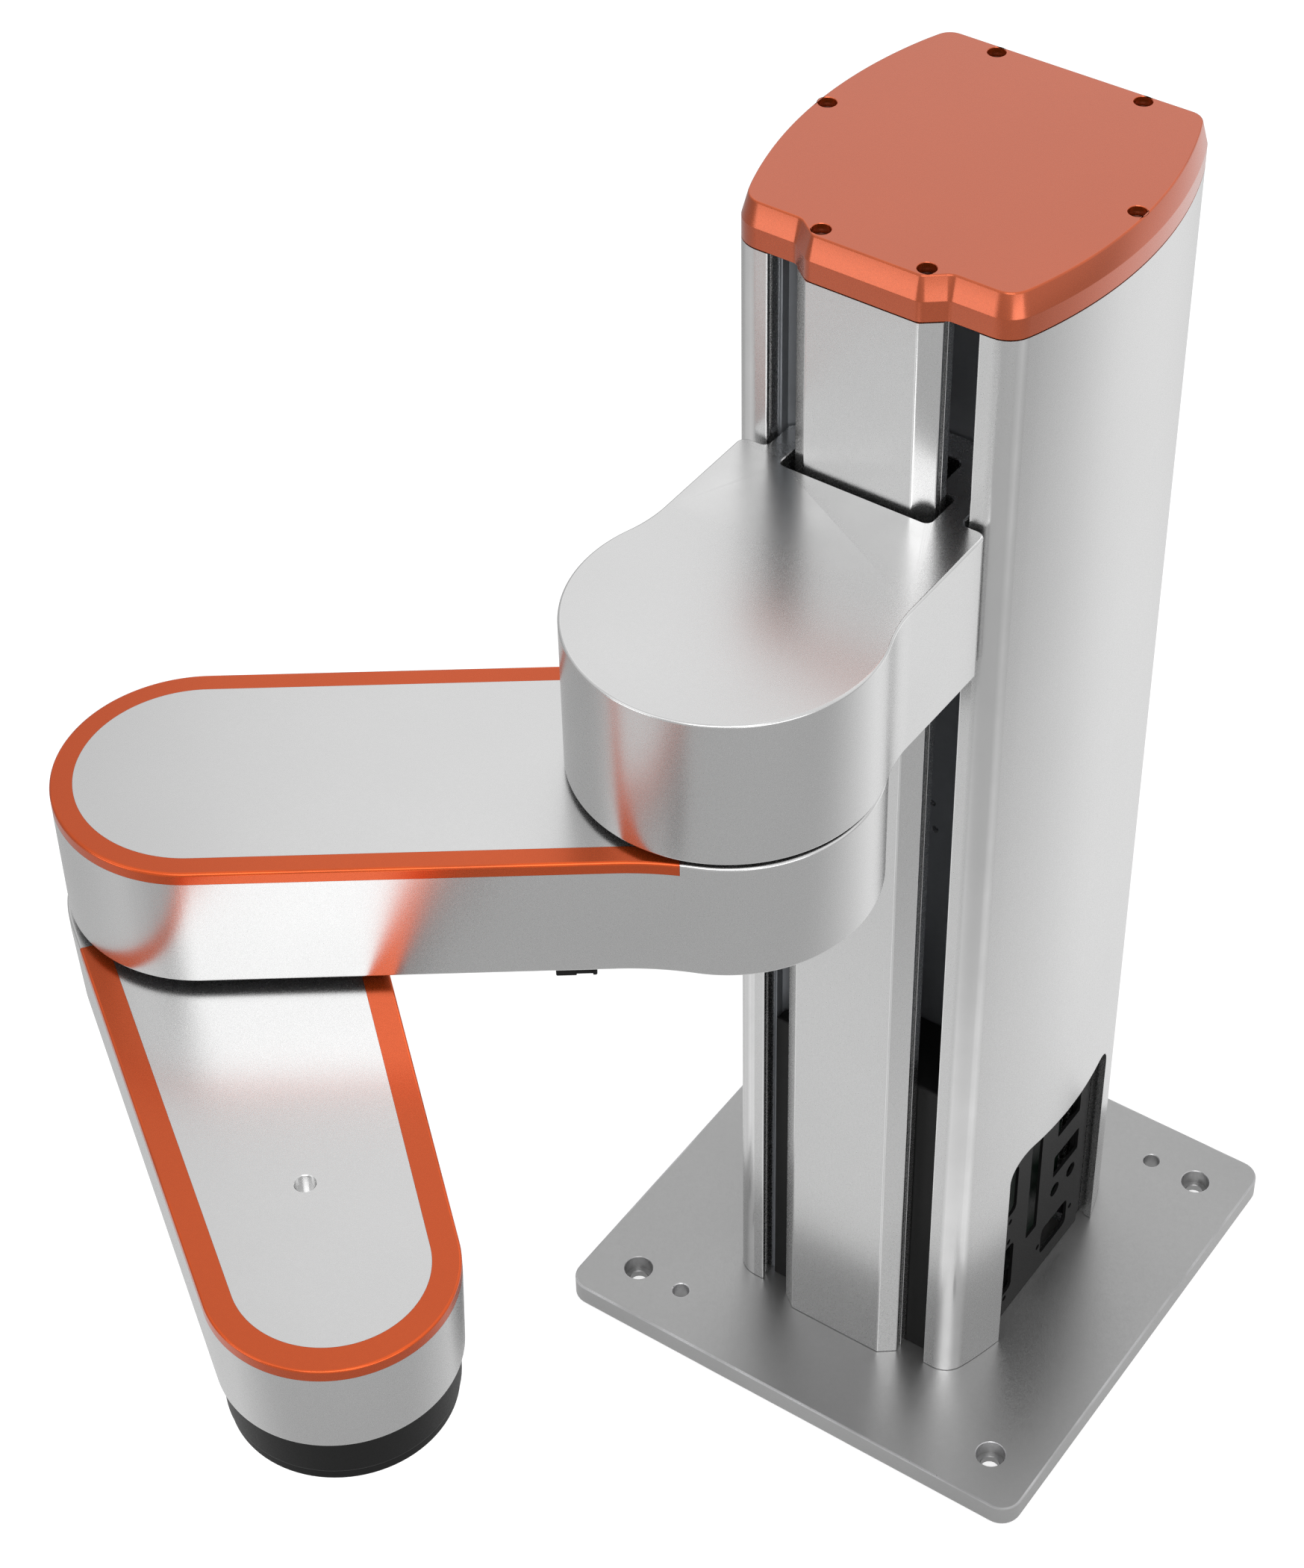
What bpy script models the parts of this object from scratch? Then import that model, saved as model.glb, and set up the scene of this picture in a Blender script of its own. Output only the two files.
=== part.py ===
"""SCARA robot: a column with a lifting shoulder bracket, two swinging arms and a turning tool flange.

Sizes are in millimetres and are turned into metres when a mesh is made. The origin is the middle of the
base's underside, Z points up, X runs along the column's front and the arms are on its -Y side.
"""

import math

import bmesh
import bpy
from mathutils import Matrix, Vector

MM = 0.001

# Clearances
GAP = 0.3
LOOSE = 0.6
SWING_GAP = 3.0
ELBOW_GAP = 4.2

# Base plate
BASE_SIDE = 250.0
BASE_THICK = 11.7
BASE_CORNER = 10.0
BASE_EDGE = 0.8
MOUNT_SPAN = 200.0
MOUNT_BORE = 9.0
MOUNT_MOUTH = 13.8
MOUNT_DEPTH = 8.0
LOCATOR_BORE = 8.0
LOCATOR_X = 75.0
LOCATOR_Y = 100.0
LOCATOR_CHAMFER = 0.4

# Column
COLUMN_TOP = 606.7
COLUMN_FRONT = -72.0
COLUMN_BACK = 77.5
COLUMN_HALF = 74.0
SIDE_RADIUS = 193.0
SIDE_MIDDLE = 2.0
SIDE_START = 8.0
SIDE_END = 9.0
WALL = 3.5
SLOT_HALF = 45.7
LIP_DEPTH = 9.0
GROOVE = 1.0
FRONT_CORNER = 5.0
BACK_CORNER = 6.0
PORT = 5.0
PORT_WALL = 2.5
BACK_PORT = (32.6, 70.6)
SIDE_PORT = (67.7, 2.9)
SPINE_PORT = (22.6, -71.3)
CUTOUT_FRONT = -41.0
CUTOUT_BACK = 50.0
CUTOUT_TOP = 140.0
CUTOUT_CORNER = 15.0
GROOVE_FRONT = 2.0
LIP_EDGE = 0.5
RIB_INNER = 55.0
RIB_THICK = 2.5
RIB_FRONT = -51.5
RIB_SPARE = 1.0
POINT_SPARE = 1.0
CUTOUT_SPARE = 0.7
PORT_FOOT = 10.0

# Spine
SPINE_FRONT = -79.0
SPINE_FACE = 24.2
SPINE_HALF = 31.7
SPINE_BEVEL = 5.8
SPINE_BACK = -65.3
SPINE_GROOVE = 2.0
SPINE_FOOT = 4.2
CHAMBER_SPARE = 1.0

# Cap
CAP_BAND = 9.0
CAP_TAPER = 9.9
CAP_DRAFT = 2.5
CAP_EDGE = 0.5
CAP_BEVEL = 1.5
CAP_SCREW_MOUTH = 7.5
CAP_SCREW_SINK = 8.0
CAP_SCREW_SHAFT = 2.0
CAP_SCREW_BITE = 14.0
CAP_SCREW_HEAD_HIGH = 4.0

# Connector panel
PANEL_FACE = 62.5
PANEL_THICK = 1.5
PANEL_TOP = 150.0
PANEL_FRONT_EDGE = -46.0
PANEL_BACK_EDGE = 44.8
PANEL_SLOTS = (
    (8.0, 33.0, 22.0, 40.0, 3.0),
    (15.5, 39.0, 71.3, 86.0, 1.0),
    (17.2, 38.0, 99.0, 114.0, 1.0),
    (-8.0, 2.0, 49.7, 117.0, 1.0),
    (-31.0, -20.0, 27.0, 61.0, 3.0),
    (-31.0, -20.4, 84.5, 116.0, 3.0),
)
PANEL_HOLES = (
    (36.7, 30.6, 1.6),
    (5.4, 30.3, 1.6),
    (33.7, 60.3, 4.0),
    (18.4, 60.5, 4.0),
    (-25.6, 23.3, 1.6),
    (-25.4, 64.9, 1.6),
    (-25.2, 79.2, 1.6),
)
BOARD_THICK = 1.6
BOARD_STANDOFF = 7.0
BOARD_END = 8.0
BOARD_SIDE = 2.0
BOARD_MARGIN = 4.0
BOARD_CORNER = 2.0
STANDOFF_RADIUS = 2.5
ANGLE_THICK = 2.2
ANGLE_REACH = 9.5

# Carriage inside the column
NECK_HALF = 44.2
NECK_BACK = -58.5
WEB_HALF = 36.4
CARRIAGE_BACK = -27.0
CHANNEL_THICK = 2.0
COVER_TOP = 191.5
COVER_FRONT = -65.0
COVER_PLAY = 0.8
COVER_EDGE = 1.0
COVER_WALL = 2.0
SENSOR_LOW = 301.0
SENSOR_LENGTH = 27.0
SENSOR_WIDTH = 11.5
SENSOR_DEPTH = 8.0
NUT_SLOT_LOW = 300.0
NUT_SLOT_END = 14.0
TONGUE_HALF = 5.0
TONGUE_PLAY = 1.2
RAIL_WIDTH = 15.0
RAIL_DEPTH = 14.7
RAIL_LOW = 200.0
RAIL_TOP_SPARE = 7.0
RAIL_WAIST = 2.0
RAIL_WAIST_AT = (5.0, 6.5, 9.5, 11.0)
BLOCK_HALF = 17.0
BLOCK_LENGTH = 48.0
BLOCK_PLAY = 0.7
BLOCK_SPARE = 4.3
WIPER_THICK = 4.5
WIPER_INSET = 0.5
BLOCK_CORNER = 1.0

# Lifting screw
SCREW_Y = 8.0
SCREW_RADIUS = 8.0
JOURNAL_RADIUS = 6.0
Z_MOTOR_HALF = 28.2
Z_MOTOR_TOP = 101.0
COUPLING_RADIUS = 12.5
COUPLING_PLAY = 1.5
COUPLING_LIFT = 3.0
SHAFT_SPARE = 1.0
SHAFT_ROOT = 5.0
JOURNAL_PLAY = 2.0
LANTERN_WALL = 5.0
LANTERN_TOP = 147.0
LANTERN_PLAY = 0.8
LANTERN_DEPTH = 2.6
MID_PLATE = 6.0
TOP_PLATE = 12.0
SCREW_SEAT_DEPTH = 10.0
MOTOR_SHAFT = 4.0
MOTOR_FOOT = 3.0
MOTOR_CORNER = 5.0
SEAT_RADIUS = 16.0
UPPER_PLATE_THICK = 11.4
UPPER_PLATE_SPARE = 7.0
UPPER_PLATE_CORNER = 4.0
UPPER_BEARING_FOOT = 1.0
UPPER_BEARING_HEAD = 2.0
NUT_RADIUS = 14.0
NUT_FLANGE = 20.0
NUT_ABOVE_BRACKET = 17.7
NUT_LENGTH = 34.0
NUT_FLANGE_THICK = 8.0
NUT_PLATE = 14.0

# Shoulder bracket
BRACKET_LOW = 452.3
BRACKET_HIGH = 520.2
J1_Y = -167.0
BRACKET_ROUND = 62.1
BRACKET_HALF = 55.4
BRACKET_REAR = -74.3
BRACKET_FLARE = 60.0
BRACKET_EDGE = 1.0
BRACKET_REAR_CORNER = 4.0
BRACKET_NECK_CORNER = 3.0
WINDOW_CORNER = 3.0
WINDOW_HALF = 34.0
WINDOW_FRONT = -81.5
WINDOW_NECK = -61.7
STEM_HALF = 24.8
WINDOW_BACK = -41.0
POCKET_RADIUS = 54.0
POCKET_LEDGE = 9.5
POCKET_TOP_WALL = 6.0
BRACKET_LOW_EDGE = 0.4

# Drives of both swinging joints
PLATE_THICK = 5.9
HUB_RADIUS = 33.0
BEARING_RADIUS = 42.0
REDUCER_RADIUS = 40.0
REDUCER_LENGTH = 21.0
DRIVE_MOTOR_RADIUS = 30.0
J2_REDUCER_LENGTH = 17.0
J2_MOTOR_LENGTH = 20.0

# First arm
ARM_LENGTH = 200.0
ARM1_ANGLE = 216.0
ARM1_HEIGHT = 55.8
ARM1_HALF = 56.0
ARM1_ROUND = 61.2
ARM1_FLARE = 130.0
ARM1_EDGE = 1.1
ARM_LOW_EDGE = 0.5
ARM1_RING = 8.7
ARM1_TRIM_START = 19.8
ARM1_TRIM_DROP = 5.3
TRIM_THICK = 2.0
ARM_WALL = 8.0
ARM_TOP_WALL = 6.0
COVER_THICK = 5.0
COVER_INSET = 2.3
PORT_BLOCK_IN = 1.0
PORT_BLOCK_NEAR = 51.6
PORT_BLOCK_FAR = 67.3
PORT_BLOCK_HEIGHT = 3.5
PORT_BLOCK_DEPTH = 12.0

# Second arm
ARM2_ANGLE = -38.3
ARM2_HEIGHT = 43.3
ARM2_ROUND = 57.3
ARM2_TIP = 46.0
ARM2_EDGE = 0.8
ARM2_DRAFT = 2.5
ARM2_UPRIGHT = 7.0
ARM2_RING = 10.4
ARM2_TRIM_START = 18.0
ARM2_TRIM_DROP = 5.0
ARM2_HOLE_BACK = 39.0
ARM2_HOLE = 7.0

# Wrist and tool flange
WRIST_RADIUS = 43.2
WRIST_TAPER = 0.7
WRIST_HEIGHT = 17.2
WRIST_CAVITY = 31.5
WRIST_SEAT = 37.0
WRIST_SEAT_DEPTH = 8.5
FLANGE_RADIUS = 41.7
FLANGE_THICK = 4.7
FLANGE_CIRCLE = 31.5
FLANGE_BORE = 6.0
FLANGE_EDGE = 0.6
FLANGE_RECESS = 12.5
FLANGE_RECESS_DEPTH = 1.5
R_SHAFT_RADIUS = 18.0
R_REDUCER_RADIUS = 30.7
R_MOTOR_RADIUS = 22.0
R_MOTOR_LENGTH = 26.0
R_REDUCER_LIFT = 1.0

# Segments of round forms
FINE = 32
MEDIUM = 20
COARSE = 12
TINY = 8
SIDE_STEPS = 9
PORT_STEPS = 8

# Share of an edge's rounding that is left at its middle step
FILLET_SHARE = 0.3

# How far a cutting tool runs past the face it cuts
OVER = 1.0


def rounded(corners, steps=3):
    """Closed outline through corners (x, y, radius), each corner turned into an arc of its radius."""
    outline = []
    for index, (x, y, radius) in enumerate(corners):
        if radius <= 0:
            outline.append((x, y))
            continue
        here = Vector((x, y))
        back = (Vector(corners[index - 1][:2]) - here).normalized()
        ahead = (Vector(corners[(index + 1) % len(corners)][:2]) - here).normalized()
        half = back.angle(ahead) / 2
        middle = here + (back + ahead).normalized() * (radius / math.sin(half))
        first = here + back * (radius / math.tan(half)) - middle
        last = here + ahead * (radius / math.tan(half)) - middle
        turn = math.atan2(first.x * last.y - first.y * last.x, first.dot(last))
        for step in range(steps + 1):
            spoke = Matrix.Rotation(turn * step / steps, 2) @ first
            outline.append((middle.x + spoke.x, middle.y + spoke.y))
    return outline


def box_outline(low_x, low_y, high_x, high_y, radius=0.0, steps=3):
    """Rectangle with its corners rounded."""
    corners = [(low_x, low_y), (high_x, low_y), (high_x, high_y), (low_x, high_y)]
    return rounded([(x, y, radius) for x, y in corners], steps)


def arc(centre_x, centre_y, radius, first, last, steps):
    """Points of an arc from one angle to another, in degrees, with both ends."""
    points = []
    for step in range(steps + 1):
        angle = math.radians(first + (last - first) * step / steps)
        points.append((centre_x + radius * math.cos(angle), centre_y + radius * math.sin(angle)))
    return points


def mirrored(half):
    """Closed outline from its right half, given from the front's middle to the back's middle."""
    left = [(-point[0],) + tuple(point[1:]) for point in reversed(half) if abs(point[0]) > 0.001]
    return list(half) + left


def offsets(points, closed=True):
    """Unit move to the left of the path at each point, longer at corners so that sides move in parallel."""
    moves = []
    count = len(points)
    for index in range(count):
        here = Vector(points[index])
        before = Vector(points[index - 1]) if closed or index > 0 else None
        after = Vector(points[(index + 1) % count]) if closed or index < count - 1 else None
        sides = []
        if before is not None:
            sides.append((here - before).normalized())
        if after is not None:
            sides.append((after - here).normalized())
        normals = [Vector((-side.y, side.x)) for side in sides]
        if len(normals) == 1:
            moves.append(normals[0])
        else:
            moves.append((normals[0] + normals[1]) / (1 + normals[0].dot(normals[1])))
    return moves


def inset(points, distance, closed=True):
    """The outline moved to the left of its direction, which is inwards when it runs counterclockwise."""
    moves = offsets(points, closed)
    return [(x + move.x * distance, y + move.y * distance) for (x, y), move in zip(points, moves)]


def along(axis, a, b, height):
    """A point of a section (a, b) at a height along X, Y or Z."""
    if axis == "X":
        return (height, a, b)
    if axis == "Y":
        return (a, height, b)
    return (a, b, height)


def loft(rings, axis="Z"):
    """Solid through outlines of equal point count, given as (outline, height), with flat ends."""
    points = []
    faces = []
    count = len(rings[0][0])
    for outline, height in rings:
        points += [along(axis, a, b, height) for a, b in outline]
    for ring in range(len(rings) - 1):
        low = ring * count
        for index in range(count):
            beside = (index + 1) % count
            faces.append((low + index, low + beside, low + count + beside, low + count + index))
    faces.append(tuple(range(count - 1, -1, -1)))
    faces.append(tuple(range((len(rings) - 1) * count, len(rings) * count)))
    return points, faces


def prism(outline, low, high, axis="Z"):
    """Straight solid over an outline."""
    return loft([(outline, low), (outline, high)], axis)


def box(low_x, high_x, low_y, high_y, low_z, high_z):
    """Rectangular block."""
    return prism(box_outline(low_x, low_y, high_x, high_y), low_z, high_z)


def lathe(centre, profile, steps=MEDIUM, axis="Z"):
    """Solid turned from (radius, height) points: it runs from axis to axis, or closes as a ring."""
    points = []
    faces = []
    rows = []
    for radius, height in profile:
        if radius < 0.001:
            rows.append([len(points)] * steps)
            points.append(along(axis, centre[0], centre[1], height))
            continue
        rows.append(list(range(len(points), len(points) + steps)))
        for step in range(steps):
            angle = 2 * math.pi * step / steps
            a = centre[0] + radius * math.cos(angle)
            b = centre[1] + radius * math.sin(angle)
            points.append(along(axis, a, b, height))
    pairs = list(zip(rows, rows[1:]))
    if profile[0][0] > 0.001:
        pairs.append((rows[-1], rows[0]))
    for low, high in pairs:
        for step in range(steps):
            beside = (step + 1) % steps
            face = []
            for corner in (low[step], low[beside], high[beside], high[step]):
                if corner not in face:
                    face.append(corner)
            if len(face) > 2:
                faces.append(tuple(face))
    return points, faces


def disc(centre, radius, low, high, steps=MEDIUM, axis="Z"):
    """Plain round solid."""
    return lathe(centre, [(0, low), (radius, low), (radius, high), (0, high)], steps, axis)


def ring(centre, inner, outer, low, high, steps=MEDIUM, axis="Z"):
    """Plain round ring."""
    return lathe(centre, [(inner, low), (outer, low), (outer, high), (inner, high)], steps, axis)


def sweep(path, moves, section):
    """Solid with a section of (offset from the path, height) points, carried along an open path."""
    points = []
    faces = []
    count = len(section)
    for (x, y), move in zip(path, moves):
        points += [(x + move.x * away, y + move.y * away, height) for away, height in section]
    for row in range(len(path) - 1):
        low = row * count
        for index in range(count):
            beside = (index + 1) % count
            faces.append((low + index, low + beside, low + count + beside, low + count + index))
    faces.append(tuple(range(count)))
    faces.append(tuple(range((len(path) - 1) * count, len(path) * count)))
    return points, faces


def placed(shape, x, y, degrees):
    """A shape turned about Z and then moved."""
    move = Matrix.Translation((x, y, 0)) @ Matrix.Rotation(math.radians(degrees), 4, "Z")
    return [tuple(move @ Vector(point)) for point in shape[0]], shape[1]


def material(name, colour, metallic, roughness):
    """Principled material, with its colour as sRGB values from 0 to 1."""
    made = bpy.data.materials.new(name)
    made.use_nodes = True
    shader = made.node_tree.nodes["Principled BSDF"]
    linear = [value / 12.92 if value < 0.04045 else ((value + 0.055) / 1.055) ** 2.4 for value in colour]
    shader.inputs["Base Color"].default_value = (*linear, 1)
    shader.inputs["Metallic"].default_value = metallic
    shader.inputs["Roughness"].default_value = roughness
    made.diffuse_color = (*linear, 1)
    return made


def solid(name, shapes, look, smooth=True):
    """Object made of one or more separate closed shapes."""
    points = []
    faces = []
    for shape_points, shape_faces in shapes:
        start = len(points)
        points += [(x * MM, y * MM, z * MM) for x, y, z in shape_points]
        faces += [tuple(start + corner for corner in face) for face in shape_faces]
    mesh = bpy.data.meshes.new(name)
    mesh.from_pydata(points, [], faces)
    form = bmesh.new()
    form.from_mesh(mesh)
    bmesh.ops.recalc_face_normals(form, faces=form.faces)
    form.to_mesh(mesh)
    form.free()
    if look is not None:
        mesh.materials.append(look)
    if smooth:
        mesh.shade_smooth()
        mesh.set_sharp_from_angle(angle=math.radians(35))
    made = bpy.data.objects.new(name, mesh)
    bpy.context.scene.collection.objects.link(made)
    return made


def change(made, operation, shapes, solver="EXACT"):
    """Boolean of an object with a hidden tool made of the given shapes."""
    tool = solid(f"{made.name}_tool_{len(made.modifiers)}", shapes, None, smooth=False)
    tool.hide_render = True
    tool.display_type = "WIRE"
    modifier = made.modifiers.new(tool.name, "BOOLEAN")
    modifier.operation = operation
    modifier.solver = solver
    modifier.object = tool
    return tool


def cut(made, shapes, solver="EXACT"):
    """Takes the shapes out of an object."""
    return change(made, "DIFFERENCE", shapes, solver)


def join(made, shapes):
    """Adds overlapping shapes to an object."""
    return change(made, "UNION", shapes)


def cap_screw(centre, seat, head_radius, head, shaft_radius, shaft):
    """Socket head screw: its head stands on the seat and its shaft runs down from it."""
    socket = head_radius / 2
    socket_floor = seat + head / 2
    profile = [
        (0, seat - shaft),
        (shaft_radius, seat - shaft),
        (shaft_radius, seat),
        (head_radius, seat),
        (head_radius, seat + head),
        (socket, seat + head),
        (socket, socket_floor),
        (0, socket_floor),
    ]
    return lathe(centre, profile, COARSE)


def stepped_hole(centre, through, mouth, low, step, high, steps=COARSE, axis="Z"):
    """Cutter of a hole that widens to its mouth above a step."""
    profile = [(0, low), (through, low), (through, step), (mouth, step), (mouth, high), (0, high)]
    return lathe(centre, profile, steps, axis)


for old in list(bpy.data.objects):
    bpy.data.objects.remove(old, do_unlink=True)

aluminium = material("blasted_aluminium", (0.74, 0.75, 0.77), 0.85, 0.42)
base_grey = material("base_grey", (0.67, 0.67, 0.68), 0.6, 0.5)
orange = material("orange_paint", (0.80, 0.36, 0.22), 0.1, 0.4)
black = material("black_plastic", (0.10, 0.10, 0.11), 0.0, 0.5)
dark_sheet = material("dark_sheet", (0.20, 0.21, 0.22), 0.4, 0.5)
steel = material("steel", (0.62, 0.62, 0.64), 1.0, 0.3)
dark_screw = material("dark_screw", (0.12, 0.12, 0.13), 0.8, 0.35)
board_green = material("board_green", (0.08, 0.25, 0.16), 0.0, 0.5)


# Base plate
base_outline = box_outline(-BASE_SIDE / 2, -BASE_SIDE / 2, BASE_SIDE / 2, BASE_SIDE / 2, BASE_CORNER, 5)
base_plate = solid(
    "base_plate",
    [
        loft(
            [
                (inset(base_outline, BASE_EDGE), 0),
                (base_outline, BASE_EDGE),
                (base_outline, BASE_THICK - BASE_EDGE),
                (inset(base_outline, BASE_EDGE * FILLET_SHARE), BASE_THICK - BASE_EDGE * FILLET_SHARE),
                (inset(base_outline, BASE_EDGE), BASE_THICK),
            ]
        )
    ],
    base_grey,
)
left_side_port = (-SIDE_PORT[0], SIDE_PORT[1])
back_ports = [(side * BACK_PORT[0], BACK_PORT[1]) for side in (-1, 1)]
spine_ports = [(side * SPINE_PORT[0], SPINE_PORT[1]) for side in (-1, 1)]
foot_ports = [*back_ports, left_side_port, *spine_ports]
cap_ports = [*foot_ports, SIDE_PORT]
above_base = BASE_THICK + OVER
holes = []
for side_x in (-1, 1):
    for side_y in (-1, 1):
        centre = (side_x * MOUNT_SPAN / 2, side_y * MOUNT_SPAN / 2)
        floor = BASE_THICK - MOUNT_DEPTH
        holes.append(stepped_hole(centre, MOUNT_BORE / 2, MOUNT_MOUTH / 2, -OVER, floor, above_base, MEDIUM))
for side in (-1, 1):
    locator = LOCATOR_BORE / 2
    profile = [
        (0, -OVER),
        (locator, -OVER),
        (locator, BASE_THICK - LOCATOR_CHAMFER),
        (locator + LOCATOR_CHAMFER + OVER, above_base),
        (0, above_base),
    ]
    holes.append(lathe((side * LOCATOR_X, side * LOCATOR_Y), profile, COARSE))
cut(base_plate, holes)

column_low = BASE_THICK + GAP

# Column shell
def flank(depth, y):
    """Half-width of the column at y, measured to a surface at a depth inside its side."""
    centre = SIDE_RADIUS - COLUMN_HALF
    return math.sqrt((SIDE_RADIUS - depth) ** 2 - (y - SIDE_MIDDLE) ** 2) - centre


def shell_half(depth):
    """Right half of the column's outline from its front corner to its back corner, as rounded corners."""
    front = COLUMN_FRONT + depth
    back = COLUMN_BACK - depth
    corners = [(flank(depth, front), front, FRONT_CORNER - depth)]
    first = COLUMN_FRONT + SIDE_START
    last = COLUMN_BACK - SIDE_END
    for step in range(SIDE_STEPS + 1):
        y = first + (last - first) * step / SIDE_STEPS
        corners.append((flank(depth, y), y, 0))
    corners.append((flank(depth, back), back, BACK_CORNER - depth))
    return corners


def turned_over(corners):
    """The same corners on the left side, in the opposite order."""
    return [(-x, y, radius) for x, y, radius in reversed(corners)]


port_outer = PORT / 2 + PORT_WALL
rib_back = CUTOUT_BACK + RIB_SPARE


def shell_inside():
    """Right half of the column's inner outline, with its two ribs and the walls of its screw ports."""
    plain = shell_half(WALL)
    bumps = []
    for rib_y in (RIB_FRONT, rib_back):
        end_y = rib_y + RIB_THICK
        tip = [(RIB_INNER, rib_y), (RIB_INNER, end_y)]
        bumps.append([(flank(WALL, rib_y), rib_y), *tip, (flank(WALL, end_y), end_y)])
    side_turn = math.degrees(math.acos((flank(WALL, SIDE_PORT[1]) - SIDE_PORT[0]) / port_outer))
    bumps.append(arc(*SIDE_PORT, port_outer, -side_turn, side_turn - 360, PORT_STEPS))
    path = []
    for x, y, _ in plain[1:-1]:
        if not any(bump[0][1] - POINT_SPARE < y < bump[-1][1] + POINT_SPARE for bump in bumps):
            path.append([(x, y)])
    path = sorted(path + bumps, key=lambda run: run[0][1])
    back_turn = math.degrees(math.asin((COLUMN_BACK - WALL - BACK_PORT[1]) / port_outer))
    back_bump = arc(*BACK_PORT, port_outer, back_turn, -180 - back_turn, PORT_STEPS)
    corners = [plain[0]]
    corners += [(x, y, 0) for run in path for x, y in run]
    corners.append(plain[-1])
    corners += [(x, y, 0) for x, y in back_bump]
    return corners


lip_back = COLUMN_FRONT + LIP_DEPTH
lip_inner = SLOT_HALF + WALL
groove_front = COLUMN_FRONT + GROOVE_FRONT
groove_back = COLUMN_FRONT + WALL
lip = [
    (SLOT_HALF, lip_back, 0),
    (SLOT_HALF, groove_back, 0),
    (SLOT_HALF + GROOVE, groove_back, 0),
    (SLOT_HALF + GROOVE, groove_front, 0),
    (SLOT_HALF, groove_front, 0),
    (SLOT_HALF, COLUMN_FRONT, LIP_EDGE),
]
lip_inside = [(lip_inner, groove_back, 0), (lip_inner, lip_back, 0)]
section = [
    *lip,
    *shell_half(0),
    *turned_over(shell_half(0)),
    *turned_over(lip),
    *turned_over(lip_inside),
]
inner = shell_inside()
section += [(-x, y, radius) for x, y, radius in inner]
section += list(reversed(inner))
section += lip_inside
shell_top = COLUMN_TOP - GAP
column_shell = solid("column_shell", [prism(rounded(section, 2), column_low, shell_top)], aluminium)
cutout = [
    (CUTOUT_FRONT, 0, 0),
    (CUTOUT_BACK, 0, 0),
    (CUTOUT_BACK, CUTOUT_TOP, CUTOUT_CORNER),
    (CUTOUT_FRONT, CUTOUT_TOP, CUTOUT_CORNER),
]
cutout_inner = SIDE_PORT[0] - port_outer - CUTOUT_SPARE
cut(column_shell, [prism(rounded(cutout, 5), cutout_inner, COLUMN_HALF + OVER, "X")])
above_shell = COLUMN_TOP + OVER
port_holes = [disc(centre, PORT / 2, 0, above_shell, COARSE) for centre in [*back_ports, left_side_port]]
port_holes.append(disc(SIDE_PORT, PORT / 2, CUTOUT_TOP - PORT_FOOT, above_shell, COARSE))
cut(column_shell, port_holes)

# Front spine, a hollow extrusion with a screw port on each side
spine_side = SPINE_BACK - SPINE_FOOT
spine_half_outline = [
    (0, SPINE_FRONT),
    (SPINE_FACE, SPINE_FRONT),
    (SPINE_HALF, SPINE_FRONT + SPINE_BEVEL),
    (SPINE_HALF, COLUMN_FRONT),
    (SPINE_HALF - SPINE_GROOVE, COLUMN_FRONT),
    (SPINE_HALF - SPINE_GROOVE, spine_side),
    (SPINE_HALF, spine_side),
    (SPINE_HALF, SPINE_BACK),
    (0, SPINE_BACK),
]
spine_outline = mirrored(spine_half_outline[1:-1])
front_spine = solid("front_spine", [prism(spine_outline, column_low, shell_top)], aluminium)
chamber_half = SPINE_PORT[0] - port_outer - CHAMBER_SPARE
chamber_front = SPINE_FRONT + PORT_WALL
chamber_back = SPINE_BACK - PORT_WALL
chamber = box(-chamber_half, chamber_half, chamber_front, chamber_back, 0, above_shell)
cut(front_spine, [chamber, *[disc(centre, PORT / 2, 0, above_shell, COARSE) for centre in spine_ports]])

# Top cap, drafted above its band, with a deep recess over each screw port
cap_half = [
    (SPINE_FACE, SPINE_FRONT, 0),
    (SPINE_HALF + CAP_BEVEL, COLUMN_FRONT, 0),
    *shell_half(0),
]
cap_outline = rounded([*cap_half, *turned_over(cap_half)], 3)
cap_band_top = COLUMN_TOP + CAP_BAND
cap_top = cap_band_top + CAP_TAPER
top_cap = solid(
    "top_cap",
    [
        loft(
            [
                (cap_outline, COLUMN_TOP),
                (cap_outline, cap_band_top),
                (inset(cap_outline, CAP_DRAFT), cap_top - CAP_EDGE),
                (inset(cap_outline, CAP_DRAFT + CAP_EDGE), cap_top),
            ]
        )
    ],
    orange,
)
cap_seat = cap_top - CAP_SCREW_SINK
recesses = []
cap_hole = CAP_SCREW_SHAFT + GAP
cap_mouth = CAP_SCREW_MOUTH / 2
for centre in cap_ports:
    recesses.append(stepped_hole(centre, cap_hole, cap_mouth, COLUMN_TOP - OVER, cap_seat, cap_top + OVER))
cut(top_cap, recesses)
cap_screw_head = cap_mouth - GAP
cap_screw_shaft = cap_seat - COLUMN_TOP + CAP_SCREW_BITE
for number, centre in enumerate(cap_ports):
    seat = cap_seat + GAP
    screw = cap_screw(centre, seat, cap_screw_head, CAP_SCREW_HEAD_HIGH, CAP_SCREW_SHAFT, cap_screw_shaft)
    solid(f"cap_screw_{number + 1}", [screw], dark_screw)

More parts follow.
